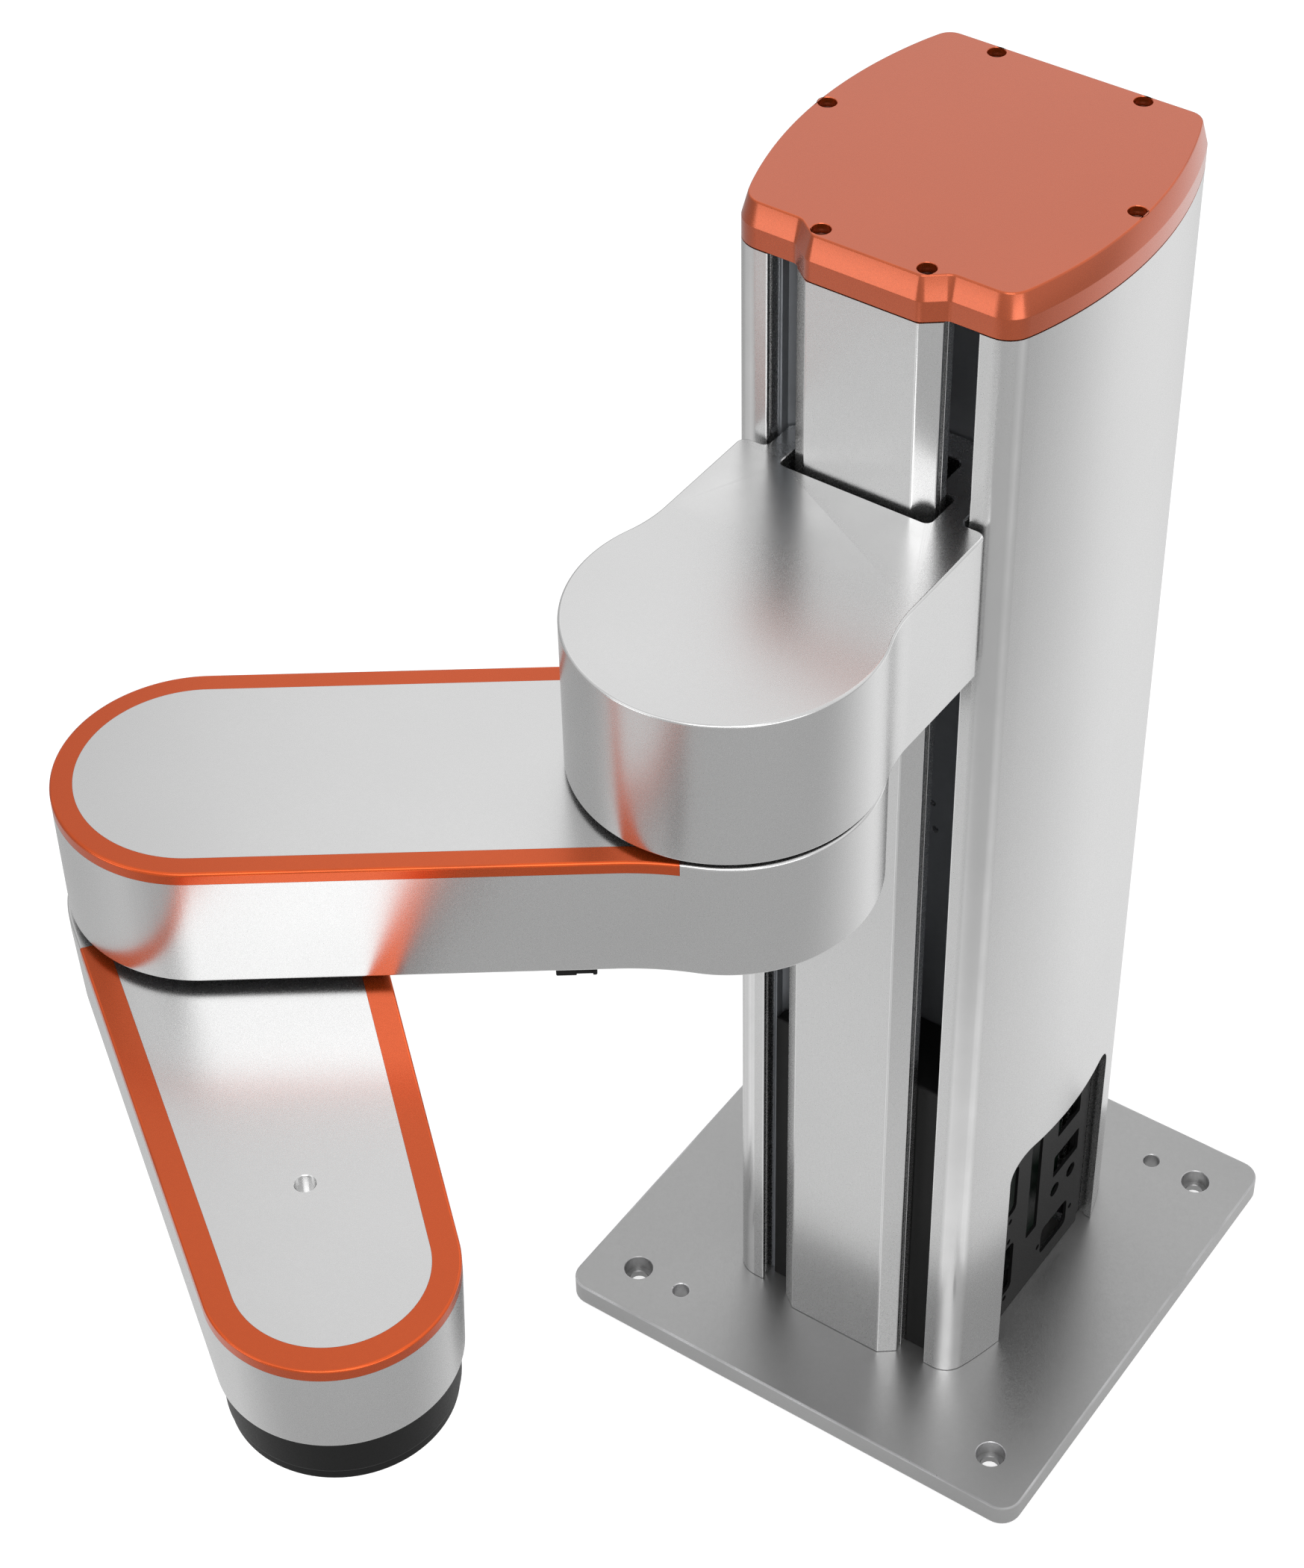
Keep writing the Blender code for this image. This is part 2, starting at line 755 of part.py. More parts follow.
# Connector panel, its two angle brackets and the control board behind it
panel_back_face = PANEL_FACE - PANEL_THICK
panel_outline = box_outline(PANEL_FRONT_EDGE, column_low, PANEL_BACK_EDGE, PANEL_TOP)
connector_panel = solid("connector_panel", [prism(panel_outline, panel_back_face, PANEL_FACE, "X")], black)
panel_cuts = []
for low_y, high_y, low_z, high_z, radius in PANEL_SLOTS:
    slot = box_outline(low_y, low_z, high_y, high_z, radius, 2)
    panel_cuts.append(prism(slot, panel_back_face - OVER, PANEL_FACE + OVER, "X"))
for hole_y, hole_z, radius in PANEL_HOLES:
    panel_cuts.append(disc((hole_y, hole_z), radius, panel_back_face - OVER, PANEL_FACE + OVER, COARSE, "X"))
cut(connector_panel, panel_cuts)
angle_face = panel_back_face - GAP
rib_faces = (("back", rib_back - GAP, -1), ("front", RIB_FRONT + RIB_THICK + GAP, 1))
for place, rib_face, sign in rib_faces:
    leg = rib_face + sign * ANGLE_THICK
    foot = rib_face + sign * (ANGLE_THICK + ANGLE_REACH)
    outline = [
        (RIB_INNER, rib_face),
        (angle_face, rib_face),
        (angle_face, foot),
        (angle_face - ANGLE_THICK, foot),
        (angle_face - ANGLE_THICK, leg),
        (RIB_INNER, leg),
    ]
    solid(f"panel_bracket_{place}", [prism(outline, column_low, PANEL_TOP)], black, smooth=False)
board_face = panel_back_face - GAP - BOARD_STANDOFF - GAP
board_low = column_low + BOARD_END
board_high = PANEL_TOP - BOARD_END
board_front = RIB_FRONT + RIB_THICK + ANGLE_THICK + ANGLE_REACH + BOARD_SIDE
board_back = rib_back - ANGLE_THICK - ANGLE_REACH - BOARD_SIDE
board = box_outline(board_front, board_low, board_back, board_high, BOARD_CORNER, 2)
solid("control_board", [prism(board, board_face - BOARD_THICK, board_face, "X")], board_green)
post_ys = (board_front + BOARD_MARGIN, board_back - BOARD_MARGIN)
post_zs = (board_low + BOARD_MARGIN, board_high - BOARD_MARGIN)
for number, spot in enumerate((post_y, post_z) for post_y in post_ys for post_z in post_zs):
    post = disc(spot, STANDOFF_RADIUS, board_face + GAP, panel_back_face - GAP, TINY, "X")
    solid(f"board_standoff_{number + 1}", [post], steel)


# Inner channel, the bottom cover and the home sensor
def carriage_path(play, front):
    """Right half of the carriage's outline in the column, from the front to its back, made wider by play."""
    back = CARRIAGE_BACK + play
    bevel = NECK_HALF - WEB_HALF
    shift = play * math.tan(math.radians(22.5))
    return [
        (NECK_HALF + play, front),
        (NECK_HALF + play, NECK_BACK + shift),
        (WEB_HALF + play, NECK_BACK + bevel + shift),
        (WEB_HALF + play, back),
    ]


channel_front = lip_back + GAP
channel_inside = carriage_path(LOOSE, channel_front)
channel_outside = carriage_path(LOOSE + CHANNEL_THICK, channel_front)
channel_outline = [
    *channel_inside,
    *[(-x, y) for x, y in reversed(channel_inside)],
    *[(-x, y) for x, y in channel_outside],
    *reversed(channel_outside),
]
channel_low = column_low
channel_high = shell_top - GAP
channel = prism(channel_outline, channel_low, channel_high)
inner_channel = solid("inner_channel", [channel], dark_sheet, smooth=False)
channel_face = CARRIAGE_BACK + LOOSE
slot_half = TONGUE_HALF + TONGUE_PLAY
slot_back = channel_face + CHANNEL_THICK + OVER
nut_slot_high = channel_high - NUT_SLOT_END
cut(inner_channel, [box(-slot_half, slot_half, channel_face - OVER, slot_back, NUT_SLOT_LOW, nut_slot_high)])
sensor_face = channel_face + CHANNEL_THICK + GAP
sensor_near = slot_half + LOOSE
sensor_far = sensor_near + SENSOR_WIDTH
sensor_back = sensor_face + SENSOR_DEPTH
sensor_high = SENSOR_LOW + SENSOR_LENGTH
sensor = box(sensor_near, sensor_far, sensor_face, sensor_back, SENSOR_LOW, sensor_high)
solid("home_sensor", [sensor], black, smooth=False)

cover_half = carriage_path(-COVER_PLAY, COVER_FRONT)
cover_outline = [*cover_half, *[(-x, y) for x, y in reversed(cover_half)]]
lower_cover = solid(
    "lower_cover",
    [
        loft(
            [
                (cover_outline, column_low),
                (cover_outline, COVER_TOP - COVER_EDGE),
                (inset(cover_outline, COVER_EDGE * FILLET_SHARE), COVER_TOP - COVER_EDGE * FILLET_SHARE),
                (inset(cover_outline, COVER_EDGE), COVER_TOP),
            ]
        )
    ],
    black,
    smooth=False,
)
cut(lower_cover, [prism(inset(cover_outline, COVER_WALL), 0, COVER_TOP - COVER_WALL)])

# Motor lantern, motor, bearings and upper bearing plate of the lifting screw
screw_axis = (0.0, SCREW_Y)
lantern_half = Z_MOTOR_HALF + LANTERN_PLAY + LANTERN_WALL
lantern_depth = Z_MOTOR_HALF + LANTERN_DEPTH
lantern_front = SCREW_Y - lantern_depth
lantern_rear = SCREW_Y + lantern_depth
lantern = box(-lantern_half, lantern_half, lantern_front, lantern_rear, column_low, LANTERN_TOP)
z_motor_mount = solid("z_motor_mount", [lantern], aluminium, smooth=False)
room = Z_MOTOR_HALF + LANTERN_PLAY
mid_top = Z_MOTOR_TOP + MID_PLATE
top_plate_low = LANTERN_TOP - TOP_PLATE
cut(
    z_motor_mount,
    [
        box(-room, room, lantern_front - OVER, lantern_rear + OVER, 0, Z_MOTOR_TOP),
        box(-room, room, lantern_front - OVER, lantern_rear + OVER, mid_top, top_plate_low),
    ],
)
bore = COUPLING_RADIUS + COUPLING_PLAY
seat_low = LANTERN_TOP - SCREW_SEAT_DEPTH
journal_bore = JOURNAL_RADIUS + JOURNAL_PLAY
above_lantern = LANTERN_TOP + OVER
below_plate = top_plate_low - OVER
seat = stepped_hole(screw_axis, journal_bore, SEAT_RADIUS, below_plate, seat_low, above_lantern, MEDIUM)
cut(z_motor_mount, [disc(screw_axis, bore, Z_MOTOR_TOP - OVER, mid_top + OVER), seat])
coupling_low = Z_MOTOR_TOP + COUPLING_LIFT
coupling_high = top_plate_low - SHAFT_SPARE
coupling_split = (coupling_low + coupling_high) / 2
motor_front = SCREW_Y - Z_MOTOR_HALF
motor_back = SCREW_Y + Z_MOTOR_HALF
motor_outline = box_outline(-Z_MOTOR_HALF, motor_front, Z_MOTOR_HALF, motor_back, MOTOR_CORNER, 2)
z_motor = solid("z_motor", [prism(motor_outline, column_low + MOTOR_FOOT, Z_MOTOR_TOP - GAP)], black)
join(z_motor, [disc(screw_axis, MOTOR_SHAFT, Z_MOTOR_TOP - SHAFT_ROOT, coupling_split - SHAFT_SPARE, COARSE)])
bearing_inner = JOURNAL_RADIUS + GAP
bearing_outer = SEAT_RADIUS - GAP
lower_bearing = ring(screw_axis, bearing_inner, bearing_outer, seat_low + GAP, LANTERN_TOP)
solid("lower_screw_bearing", [lower_bearing], steel)
upper_plate_low = shell_top - UPPER_PLATE_THICK
upper_plate_front = channel_face + CHANNEL_THICK + GAP
upper_plate_back = BACK_PORT[1] - PORT / 2 - PORT_WALL - UPPER_PLATE_SPARE
upper_bearing_plate = solid(
    "upper_bearing_plate",
    [
        prism(
            box_outline(-WEB_HALF, upper_plate_front, WEB_HALF, upper_plate_back, UPPER_PLATE_CORNER),
            upper_plate_low,
            shell_top,
        )
    ],
    aluminium,
)
cut(upper_bearing_plate, [disc(screw_axis, SEAT_RADIUS, upper_plate_low - OVER, shell_top + OVER)])
upper_bearing_low = upper_plate_low + UPPER_BEARING_FOOT
upper_bearing_high = shell_top - UPPER_BEARING_HEAD
solid(
    "upper_screw_bearing",
    [ring(screw_axis, bearing_inner, bearing_outer, upper_bearing_low, upper_bearing_high)],
    steel,
)

# Guide rail on the spine's back, waisted on both sides for the block's balls
rail_front = SPINE_BACK + GAP
rail_back = SPINE_BACK + GAP + RAIL_DEPTH
rail_high = COLUMN_TOP - RAIL_TOP_SPARE
rail_half = RAIL_WIDTH / 2
rail_waist = rail_half - RAIL_WAIST
rail_section = mirrored(
    [
        (rail_half, rail_front),
        (rail_half, rail_front + RAIL_WAIST_AT[0]),
        (rail_waist, rail_front + RAIL_WAIST_AT[1]),
        (rail_waist, rail_front + RAIL_WAIST_AT[2]),
        (rail_half, rail_front + RAIL_WAIST_AT[3]),
        (rail_half, rail_back),
    ]
)
solid("guide_rail", [prism(rail_section, RAIL_LOW, rail_high)], steel, smooth=False)

# Lifting screw with its coupling: they turn together
screw_low = LANTERN_TOP + GAP
screw_high = upper_plate_low - GAP
ball_screw = solid(
    "ball_screw",
    [
        lathe(
            screw_axis,
            [
                (0, coupling_split + SHAFT_SPARE),
                (JOURNAL_RADIUS, coupling_split + SHAFT_SPARE),
                (JOURNAL_RADIUS, screw_low),
                (SCREW_RADIUS, screw_low),
                (SCREW_RADIUS, screw_high),
                (JOURNAL_RADIUS, screw_high),
                (JOURNAL_RADIUS, shell_top - SHAFT_SPARE),
                (0, shell_top - SHAFT_SPARE),
            ],
        )
    ],
    steel,
)
coupling_grip = JOURNAL_RADIUS + GAP
shaft_coupling = solid(
    "shaft_coupling",
    [
        lathe(
            screw_axis,
            [
                (MOTOR_SHAFT + GAP, coupling_low),
                (COUPLING_RADIUS, coupling_low),
                (COUPLING_RADIUS, coupling_high),
                (coupling_grip, coupling_high),
                (coupling_grip, coupling_split),
                (MOTOR_SHAFT + GAP, coupling_split),
            ],
        )
    ],
    aluminium,
)

# Shoulder bracket: the neck inside the column, the round over the first joint
j1_axis = (0.0, J1_Y)
flare_x = BRACKET_HALF + BRACKET_FLARE
flare_reach = BRACKET_ROUND + BRACKET_FLARE
flare_y = J1_Y + math.sqrt(flare_reach**2 - flare_x**2)
touch_angle = math.degrees(math.atan2(flare_y - J1_Y, flare_x))
flare_points = arc(flare_x, flare_y, BRACKET_FLARE, 180, 180 + touch_angle, 4)
round_points = arc(0, J1_Y, BRACKET_ROUND, touch_angle, -90, 14)
front_half = [*reversed(round_points[1:]), *reversed(flare_points)]
rear_corners = [
    (BRACKET_HALF, flare_y, 0),
    (BRACKET_HALF, BRACKET_REAR, BRACKET_REAR_CORNER),
    (NECK_HALF, BRACKET_REAR, BRACKET_NECK_CORNER),
    (NECK_HALF, NECK_BACK, 0),
    (WEB_HALF, NECK_BACK + NECK_HALF - WEB_HALF, 0),
    (WEB_HALF, CARRIAGE_BACK, 0),
    (0, CARRIAGE_BACK, 0),
    (0, flare_y, 0),
]
rear_half = rounded(rear_corners, 3)[1:-2]
bracket_outline = mirrored([*front_half, *rear_half])
bracket_fillet = BRACKET_EDGE * FILLET_SHARE
shoulder_bracket = solid(
    "shoulder_bracket",
    [
        loft(
            [
                (inset(bracket_outline, BRACKET_LOW_EDGE), BRACKET_LOW),
                (bracket_outline, BRACKET_LOW + BRACKET_LOW_EDGE),
                (bracket_outline, BRACKET_HIGH - BRACKET_EDGE),
                (inset(bracket_outline, bracket_fillet), BRACKET_HIGH - bracket_fillet),
                (inset(bracket_outline, BRACKET_EDGE), BRACKET_HIGH),
            ]
        )
    ],
    aluminium,
)
window_corners = [
    (WINDOW_HALF, WINDOW_FRONT, WINDOW_CORNER),
    (WINDOW_HALF, WINDOW_NECK, WINDOW_CORNER),
    (STEM_HALF, WINDOW_NECK, 0),
    (STEM_HALF, WINDOW_BACK, WINDOW_CORNER),
]
window = rounded([*window_corners, *turned_over(window_corners)], 3)
plate_top = BRACKET_LOW + PLATE_THICK
ledge = plate_top + GAP
pocket_top = BRACKET_HIGH - POCKET_TOP_WALL
pocket_neck = POCKET_RADIUS - POCKET_LEDGE
cut(
    shoulder_bracket,
    [
        prism(window, BRACKET_LOW - OVER, BRACKET_HIGH + OVER),
        stepped_hole(j1_axis, POCKET_RADIUS, pocket_neck, BRACKET_LOW - OVER, ledge, pocket_top, FINE),
    ],
)

# Guide block with its end wipers, ball nut and the bracket that carries the nut
block_front = SPINE_BACK + BLOCK_SPARE
block_back = WINDOW_BACK - GAP
block_room = rail_half + BLOCK_PLAY
block_middle = (BRACKET_LOW + BRACKET_HIGH) / 2
block_low = block_middle - BLOCK_LENGTH / 2
block_high = block_middle + BLOCK_LENGTH / 2
block_corners = [
    (BLOCK_HALF, block_front, BLOCK_CORNER),
    (BLOCK_HALF, block_back, BLOCK_CORNER),
    (-BLOCK_HALF, block_back, BLOCK_CORNER),
    (-BLOCK_HALF, block_front, BLOCK_CORNER),
    (-block_room, block_front, 0),
    (-block_room, rail_back + BLOCK_PLAY, 0),
    (block_room, rail_back + BLOCK_PLAY, 0),
    (block_room, block_front, 0),
]
block_section = rounded(block_corners, 2)
solid("guide_block", [prism(block_section, block_low, block_high)], steel, smooth=False)
wiper_corners = []
for x, y, radius in block_corners:
    wiper_corners.append((x, y - WIPER_INSET if y > block_front else y + WIPER_INSET, radius))
wiper_section = rounded(wiper_corners, 2)
wiper_lows = (("lower", block_low - GAP - WIPER_THICK), ("upper", block_high + GAP))
for place, wiper_low in wiper_lows:
    wiper = prism(wiper_section, wiper_low, wiper_low + WIPER_THICK)
    solid(f"block_wiper_{place}", [wiper], black, smooth=False)
nut_low = BRACKET_LOW + NUT_ABOVE_BRACKET
nut_top = nut_low + NUT_LENGTH
nut_flange_low = nut_top - NUT_FLANGE_THICK
solid(
    "ball_nut",
    [
        lathe(
            screw_axis,
            [
                (SCREW_RADIUS + GAP, nut_low),
                (NUT_RADIUS, nut_low),
                (NUT_RADIUS, nut_flange_low),
                (NUT_FLANGE, nut_flange_low),
                (NUT_FLANGE, nut_top),
                (SCREW_RADIUS + GAP, nut_top),
            ],
        )
    ],
    steel,
)
nut_plate_high = nut_flange_low - GAP
nut_plate_low = nut_plate_high - NUT_PLATE
nut_plate = disc(screw_axis, NUT_FLANGE + COVER_WALL, nut_plate_low, nut_plate_high, MEDIUM)
nut_bracket = solid("nut_bracket", [nut_plate], aluminium)
tongue_front = CARRIAGE_BACK + GAP
join(nut_bracket, [box(-TONGUE_HALF, TONGUE_HALF, tongue_front, SCREW_Y, nut_plate_low, nut_plate_high)])
cut(nut_bracket, [disc(screw_axis, NUT_RADIUS + GAP, nut_plate_low - OVER, nut_plate_high + OVER)])

# First joint's drive: mount plate, bearing, reducer and motor in the bracket's pocket
plate_outer = POCKET_RADIUS - GAP
solid("j1_mount_plate", [ring(j1_axis, BEARING_RADIUS, plate_outer, BRACKET_LOW, plate_top, FINE)], aluminium)
j1_bearing = ring(j1_axis, HUB_RADIUS + GAP, BEARING_RADIUS - GAP, BRACKET_LOW, plate_top, FINE)
solid("j1_bearing", [j1_bearing], steel)
reducer_low = plate_top + GAP
reducer_high = reducer_low + REDUCER_LENGTH
solid("j1_reducer", [disc(j1_axis, REDUCER_RADIUS, reducer_low, reducer_high, FINE)], steel)
solid(
    "j1_motor",
    [disc(j1_axis, DRIVE_MOTOR_RADIUS, reducer_high + GAP, pocket_top - GAP, MEDIUM)],
    black,
)

# First arm: housing open below, its top flush with the orange trim
arm1_high = BRACKET_LOW - SWING_GAP
arm1_low = arm1_high - ARM1_HEIGHT
turn1 = math.radians(ARM1_ANGLE)
elbow = (ARM_LENGTH * math.cos(turn1), J1_Y + ARM_LENGTH * math.sin(turn1))


def on_arm1(shape):
    """A shape drawn along +X from the first joint, moved to the first arm."""
    return placed(shape, 0, J1_Y, ARM1_ANGLE)


arm1_flare_y = ARM1_HALF + ARM1_FLARE
arm1_flare_x = math.sqrt((ARM1_ROUND + ARM1_FLARE) ** 2 - arm1_flare_y**2)
arm1_touch = math.degrees(math.atan2(arm1_flare_y, arm1_flare_x))
trim_start_angle = 270 - math.degrees(math.asin((arm1_flare_x - ARM1_TRIM_START) / ARM1_FLARE))
tip_right = arc(ARM_LENGTH, 0, ARM1_HALF, 0, 90, 11)
flare_near_tip = arc(arm1_flare_x, arm1_flare_y, ARM1_FLARE, 270, trim_start_angle, 3)
flare_near_round = arc(arm1_flare_x, arm1_flare_y, ARM1_FLARE, trim_start_angle, 180 + arm1_touch, 1)
shoulder_round = arc(0, 0, ARM1_ROUND, arm1_touch, 180, 11)
arm1_upper = [*tip_right, *flare_near_tip, flare_near_round[1], *shoulder_round[1:]]
arm1_lower = [(x, -y) for x, y in reversed(arm1_upper[1:-1])]
arm1_outline = [*arm1_upper, *arm1_lower]
arm1_housing = solid(
    "arm1_housing",
    [
        on_arm1(
            loft(
                [
                    (inset(arm1_outline, ARM_LOW_EDGE), arm1_low),
                    (arm1_outline, arm1_low + ARM_LOW_EDGE),
                    (arm1_outline, arm1_high - ARM1_EDGE),
                    (inset(arm1_outline, ARM1_EDGE * FILLET_SHARE), arm1_high - ARM1_EDGE * FILLET_SHARE),
                    (inset(arm1_outline, ARM1_EDGE), arm1_high),
                ]
            )
        )
    ],
    aluminium,
)


def trim_section(high, edge, ringwidth, drop, spare):
    """Section of a trim as (inset, height): a top ring and a side strip. With spare it cuts the seat."""
    if spare > 0:
        return [
            (-OVER, high - drop - spare),
            (-OVER, high + OVER),
            (ringwidth + spare, high + OVER),
            (ringwidth + spare, high - TRIM_THICK - spare),
            (TRIM_THICK + spare, high - TRIM_THICK - spare),
            (TRIM_THICK + spare, high - drop - spare),
        ]
    return [
        (0, high - drop),
        (0, high - edge),
        (edge * FILLET_SHARE, high - edge * FILLET_SHARE),
        (edge, high),
        (ringwidth, high),
        (ringwidth, high - TRIM_THICK),
        (TRIM_THICK, high - TRIM_THICK),
        (TRIM_THICK, high - drop),
    ]


def trim_moves(path, seat_longer):
    """Inward moves along a trim's path, with both ends cut straight across, and the path for its seat."""
    moves = offsets(path, closed=False)
    moves[0] = Vector((0, 1 / moves[0].y))
    moves[-1] = Vector((0, 1 / moves[-1].y))
    longer = [(path[0][0] - seat_longer, path[0][1]), *path[1:-1], (path[-1][0] - seat_longer, path[-1][1])]
    return moves, longer


arm1_path_upper = [*tip_right[1:], *flare_near_tip]
arm1_path = [*[(x, -y) for x, y in reversed(arm1_path_upper)], tip_right[0], *arm1_path_upper]
arm1_moves, arm1_seat_path = trim_moves(arm1_path, GAP)
arm1_seat = trim_section(arm1_high, ARM1_EDGE, ARM1_RING, ARM1_TRIM_DROP, GAP)
cover1_high = arm1_low + COVER_THICK
arm1_room_top = arm1_high - ARM_TOP_WALL
cover1_seat = inset(arm1_outline, COVER_INSET)
arm1_room = inset(arm1_outline, ARM_WALL)
arm1_pocket = loft(
    [
        (cover1_seat, arm1_low - OVER),
        (cover1_seat, cover1_high + GAP),
        (arm1_room, cover1_high + GAP),
        (arm1_room, arm1_room_top),
    ]
)
arm1_seat_tool = sweep(arm1_seat_path, arm1_moves, arm1_seat)
cut(arm1_housing, [on_arm1(arm1_seat_tool), on_arm1(arm1_pocket)], "MANIFOLD")
arm1_ring = trim_section(arm1_high, ARM1_EDGE, ARM1_RING, ARM1_TRIM_DROP, 0)
solid("arm1_trim", [on_arm1(sweep(arm1_path, arm1_moves, arm1_ring))], orange)
cover1_outline = inset(arm1_outline, COVER_INSET + GAP)
cover1 = on_arm1(prism(cover1_outline, arm1_low, cover1_high))
arm1_bottom_cover = solid("arm1_bottom_cover", [cover1], aluminium)
cut(arm1_bottom_cover, [disc(elbow, BEARING_RADIUS, arm1_low - OVER, cover1_high + OVER, FINE)])
solid("j1_output_hub", [disc(j1_axis, HUB_RADIUS, arm1_high + GAP, plate_top, FINE)], steel)
solid("j2_bearing", [ring(elbow, HUB_RADIUS + GAP, BEARING_RADIUS - GAP, arm1_low, cover1_high, FINE)], steel)
j2_reducer_low = cover1_high + GAP
j2_reducer_high = j2_reducer_low + J2_REDUCER_LENGTH
solid("j2_reducer", [disc(elbow, REDUCER_RADIUS, j2_reducer_low, j2_reducer_high, FINE)], steel)
j2_motor_low = j2_reducer_high + GAP
j2_motor_high = j2_motor_low + J2_MOTOR_LENGTH
solid("j2_motor", [disc(elbow, DRIVE_MOTOR_RADIUS, j2_motor_low, j2_motor_high, MEDIUM)], black)
block_side = ARM1_HALF - PORT_BLOCK_IN
block_inside = block_side - PORT_BLOCK_DEPTH
port_top = arm1_low - GAP
port_low = port_top - PORT_BLOCK_HEIGHT
port_block = box(PORT_BLOCK_NEAR, PORT_BLOCK_FAR, block_inside, block_side, port_low, port_top)
solid("arm1_port_block", [on_arm1(port_block)], black, smooth=False)

# Second arm: drafted housing, narrower at the wrist
arm2_high = arm1_low - ELBOW_GAP
arm2_low = arm2_high - ARM2_HEIGHT
turn2 = math.radians(ARM2_ANGLE)
wrist = (elbow[0] + ARM_LENGTH * math.cos(turn2), elbow[1] + ARM_LENGTH * math.sin(turn2))


def on_arm2(shape):
    """A shape drawn along +X from the second joint, moved to the second arm."""
    return placed(shape, elbow[0], elbow[1], ARM2_ANGLE)


lean = math.degrees(math.acos((ARM2_ROUND - ARM2_TIP) / ARM_LENGTH))
wrist_end = arc(ARM_LENGTH, 0, ARM2_TIP, 0, lean, 11)
elbow_end = arc(0, 0, ARM2_ROUND, lean, 180, 11)
slope = (elbow_end[0][1] - wrist_end[-1][1]) / (elbow_end[0][0] - wrist_end[-1][0])
trim_mark = (ARM2_TRIM_START, wrist_end[-1][1] + slope * (ARM2_TRIM_START - wrist_end[-1][0]))
arm2_upper = [*wrist_end, trim_mark, *elbow_end]
arm2_outline = [*arm2_upper, *[(x, -y) for x, y in reversed(arm2_upper[1:-1])]]
arm2_housing = solid(
    "arm2_housing",
    [
        on_arm2(
            loft(
                [
                    (inset(arm2_outline, ARM2_DRAFT + ARM2_EDGE), arm2_low),
                    (inset(arm2_outline, ARM2_DRAFT), arm2_low + ARM2_EDGE),
                    (arm2_outline, arm2_high - ARM2_UPRIGHT),
                    (arm2_outline, arm2_high - ARM2_EDGE),
                    (inset(arm2_outline, ARM2_EDGE * FILLET_SHARE), arm2_high - ARM2_EDGE * FILLET_SHARE),
                    (inset(arm2_outline, ARM2_EDGE), arm2_high),
                ]
            )
        )
    ],
    aluminium,
)
arm2_path_upper = [*wrist_end[1:], trim_mark]
arm2_path = [*[(x, -y) for x, y in reversed(arm2_path_upper)], wrist_end[0], *arm2_path_upper]
arm2_moves, arm2_seat_path = trim_moves(arm2_path, GAP)
arm2_seat = trim_section(arm2_high, ARM2_EDGE, ARM2_RING, ARM2_TRIM_DROP, GAP)
cover2_high = arm2_low + COVER_THICK
arm2_room_top = arm2_high - ARM_TOP_WALL
cover2_edge = ARM2_DRAFT + COVER_INSET
cover2_seat = inset(arm2_outline, cover2_edge)
arm2_room = inset(arm2_outline, ARM_WALL + ARM2_DRAFT)
arm2_pocket = loft(
    [
        (cover2_seat, arm2_low - OVER),
        (cover2_seat, cover2_high + GAP),
        (arm2_room, cover2_high + GAP),
        (arm2_room, arm2_room_top),
    ]
)
arm2_seat_tool = sweep(arm2_seat_path, arm2_moves, arm2_seat)
cut(arm2_housing, [on_arm2(arm2_seat_tool), on_arm2(arm2_pocket)], "MANIFOLD")
arm2_ring = trim_section(arm2_high, ARM2_EDGE, ARM2_RING, ARM2_TRIM_DROP, 0)
solid("arm2_trim", [on_arm2(sweep(arm2_path, arm2_moves, arm2_ring))], orange)
hole_spot = (ARM_LENGTH - ARM2_HOLE_BACK, 0)
hole_tool = disc(hole_spot, ARM2_HOLE / 2, arm2_room_top - OVER, arm2_high + OVER, COARSE)
cut(arm2_housing, [on_arm2(hole_tool)], "MANIFOLD")
cover2_outline = inset(arm2_outline, cover2_edge + GAP)
cover2 = on_arm2(prism(cover2_outline, arm2_low, cover2_high))
arm2_bottom_cover = solid("arm2_bottom_cover", [cover2], aluminium)
r_bore = R_REDUCER_RADIUS + GAP
cut(arm2_bottom_cover, [disc(wrist, r_bore, arm2_low - OVER, cover2_high + OVER, FINE)])
solid("j2_output_hub", [disc(elbow, HUB_RADIUS, arm2_high + GAP, cover1_high, FINE)], steel)

# Wrist housing with the R axis drive
wrist_high = arm2_low - GAP
wrist_low = wrist_high - WRIST_HEIGHT
seat_top = wrist_low + WRIST_SEAT_DEPTH
solid(
    "wrist_housing",
    [
        lathe(
            wrist,
            [
                (WRIST_SEAT, wrist_low),
                (WRIST_RADIUS - WRIST_TAPER, wrist_low),
                (WRIST_RADIUS, wrist_high),
                (WRIST_CAVITY, wrist_high),
                (WRIST_CAVITY, seat_top),
                (WRIST_SEAT, seat_top),
            ],
            FINE,
        )
    ],
    black,
)
r_bearing = ring(wrist, R_SHAFT_RADIUS + GAP, WRIST_SEAT - GAP, wrist_low + GAP, seat_top - GAP, FINE)
solid("r_bearing", [r_bearing], steel)
r_reducer_low = seat_top + R_REDUCER_LIFT
r_reducer_high = cover2_high
solid("r_reducer", [disc(wrist, R_REDUCER_RADIUS, r_reducer_low, r_reducer_high, MEDIUM)], steel)
r_motor_low = r_reducer_high + GAP
solid("r_motor", [disc(wrist, R_MOTOR_RADIUS, r_motor_low, r_motor_low + R_MOTOR_LENGTH, MEDIUM)], black)

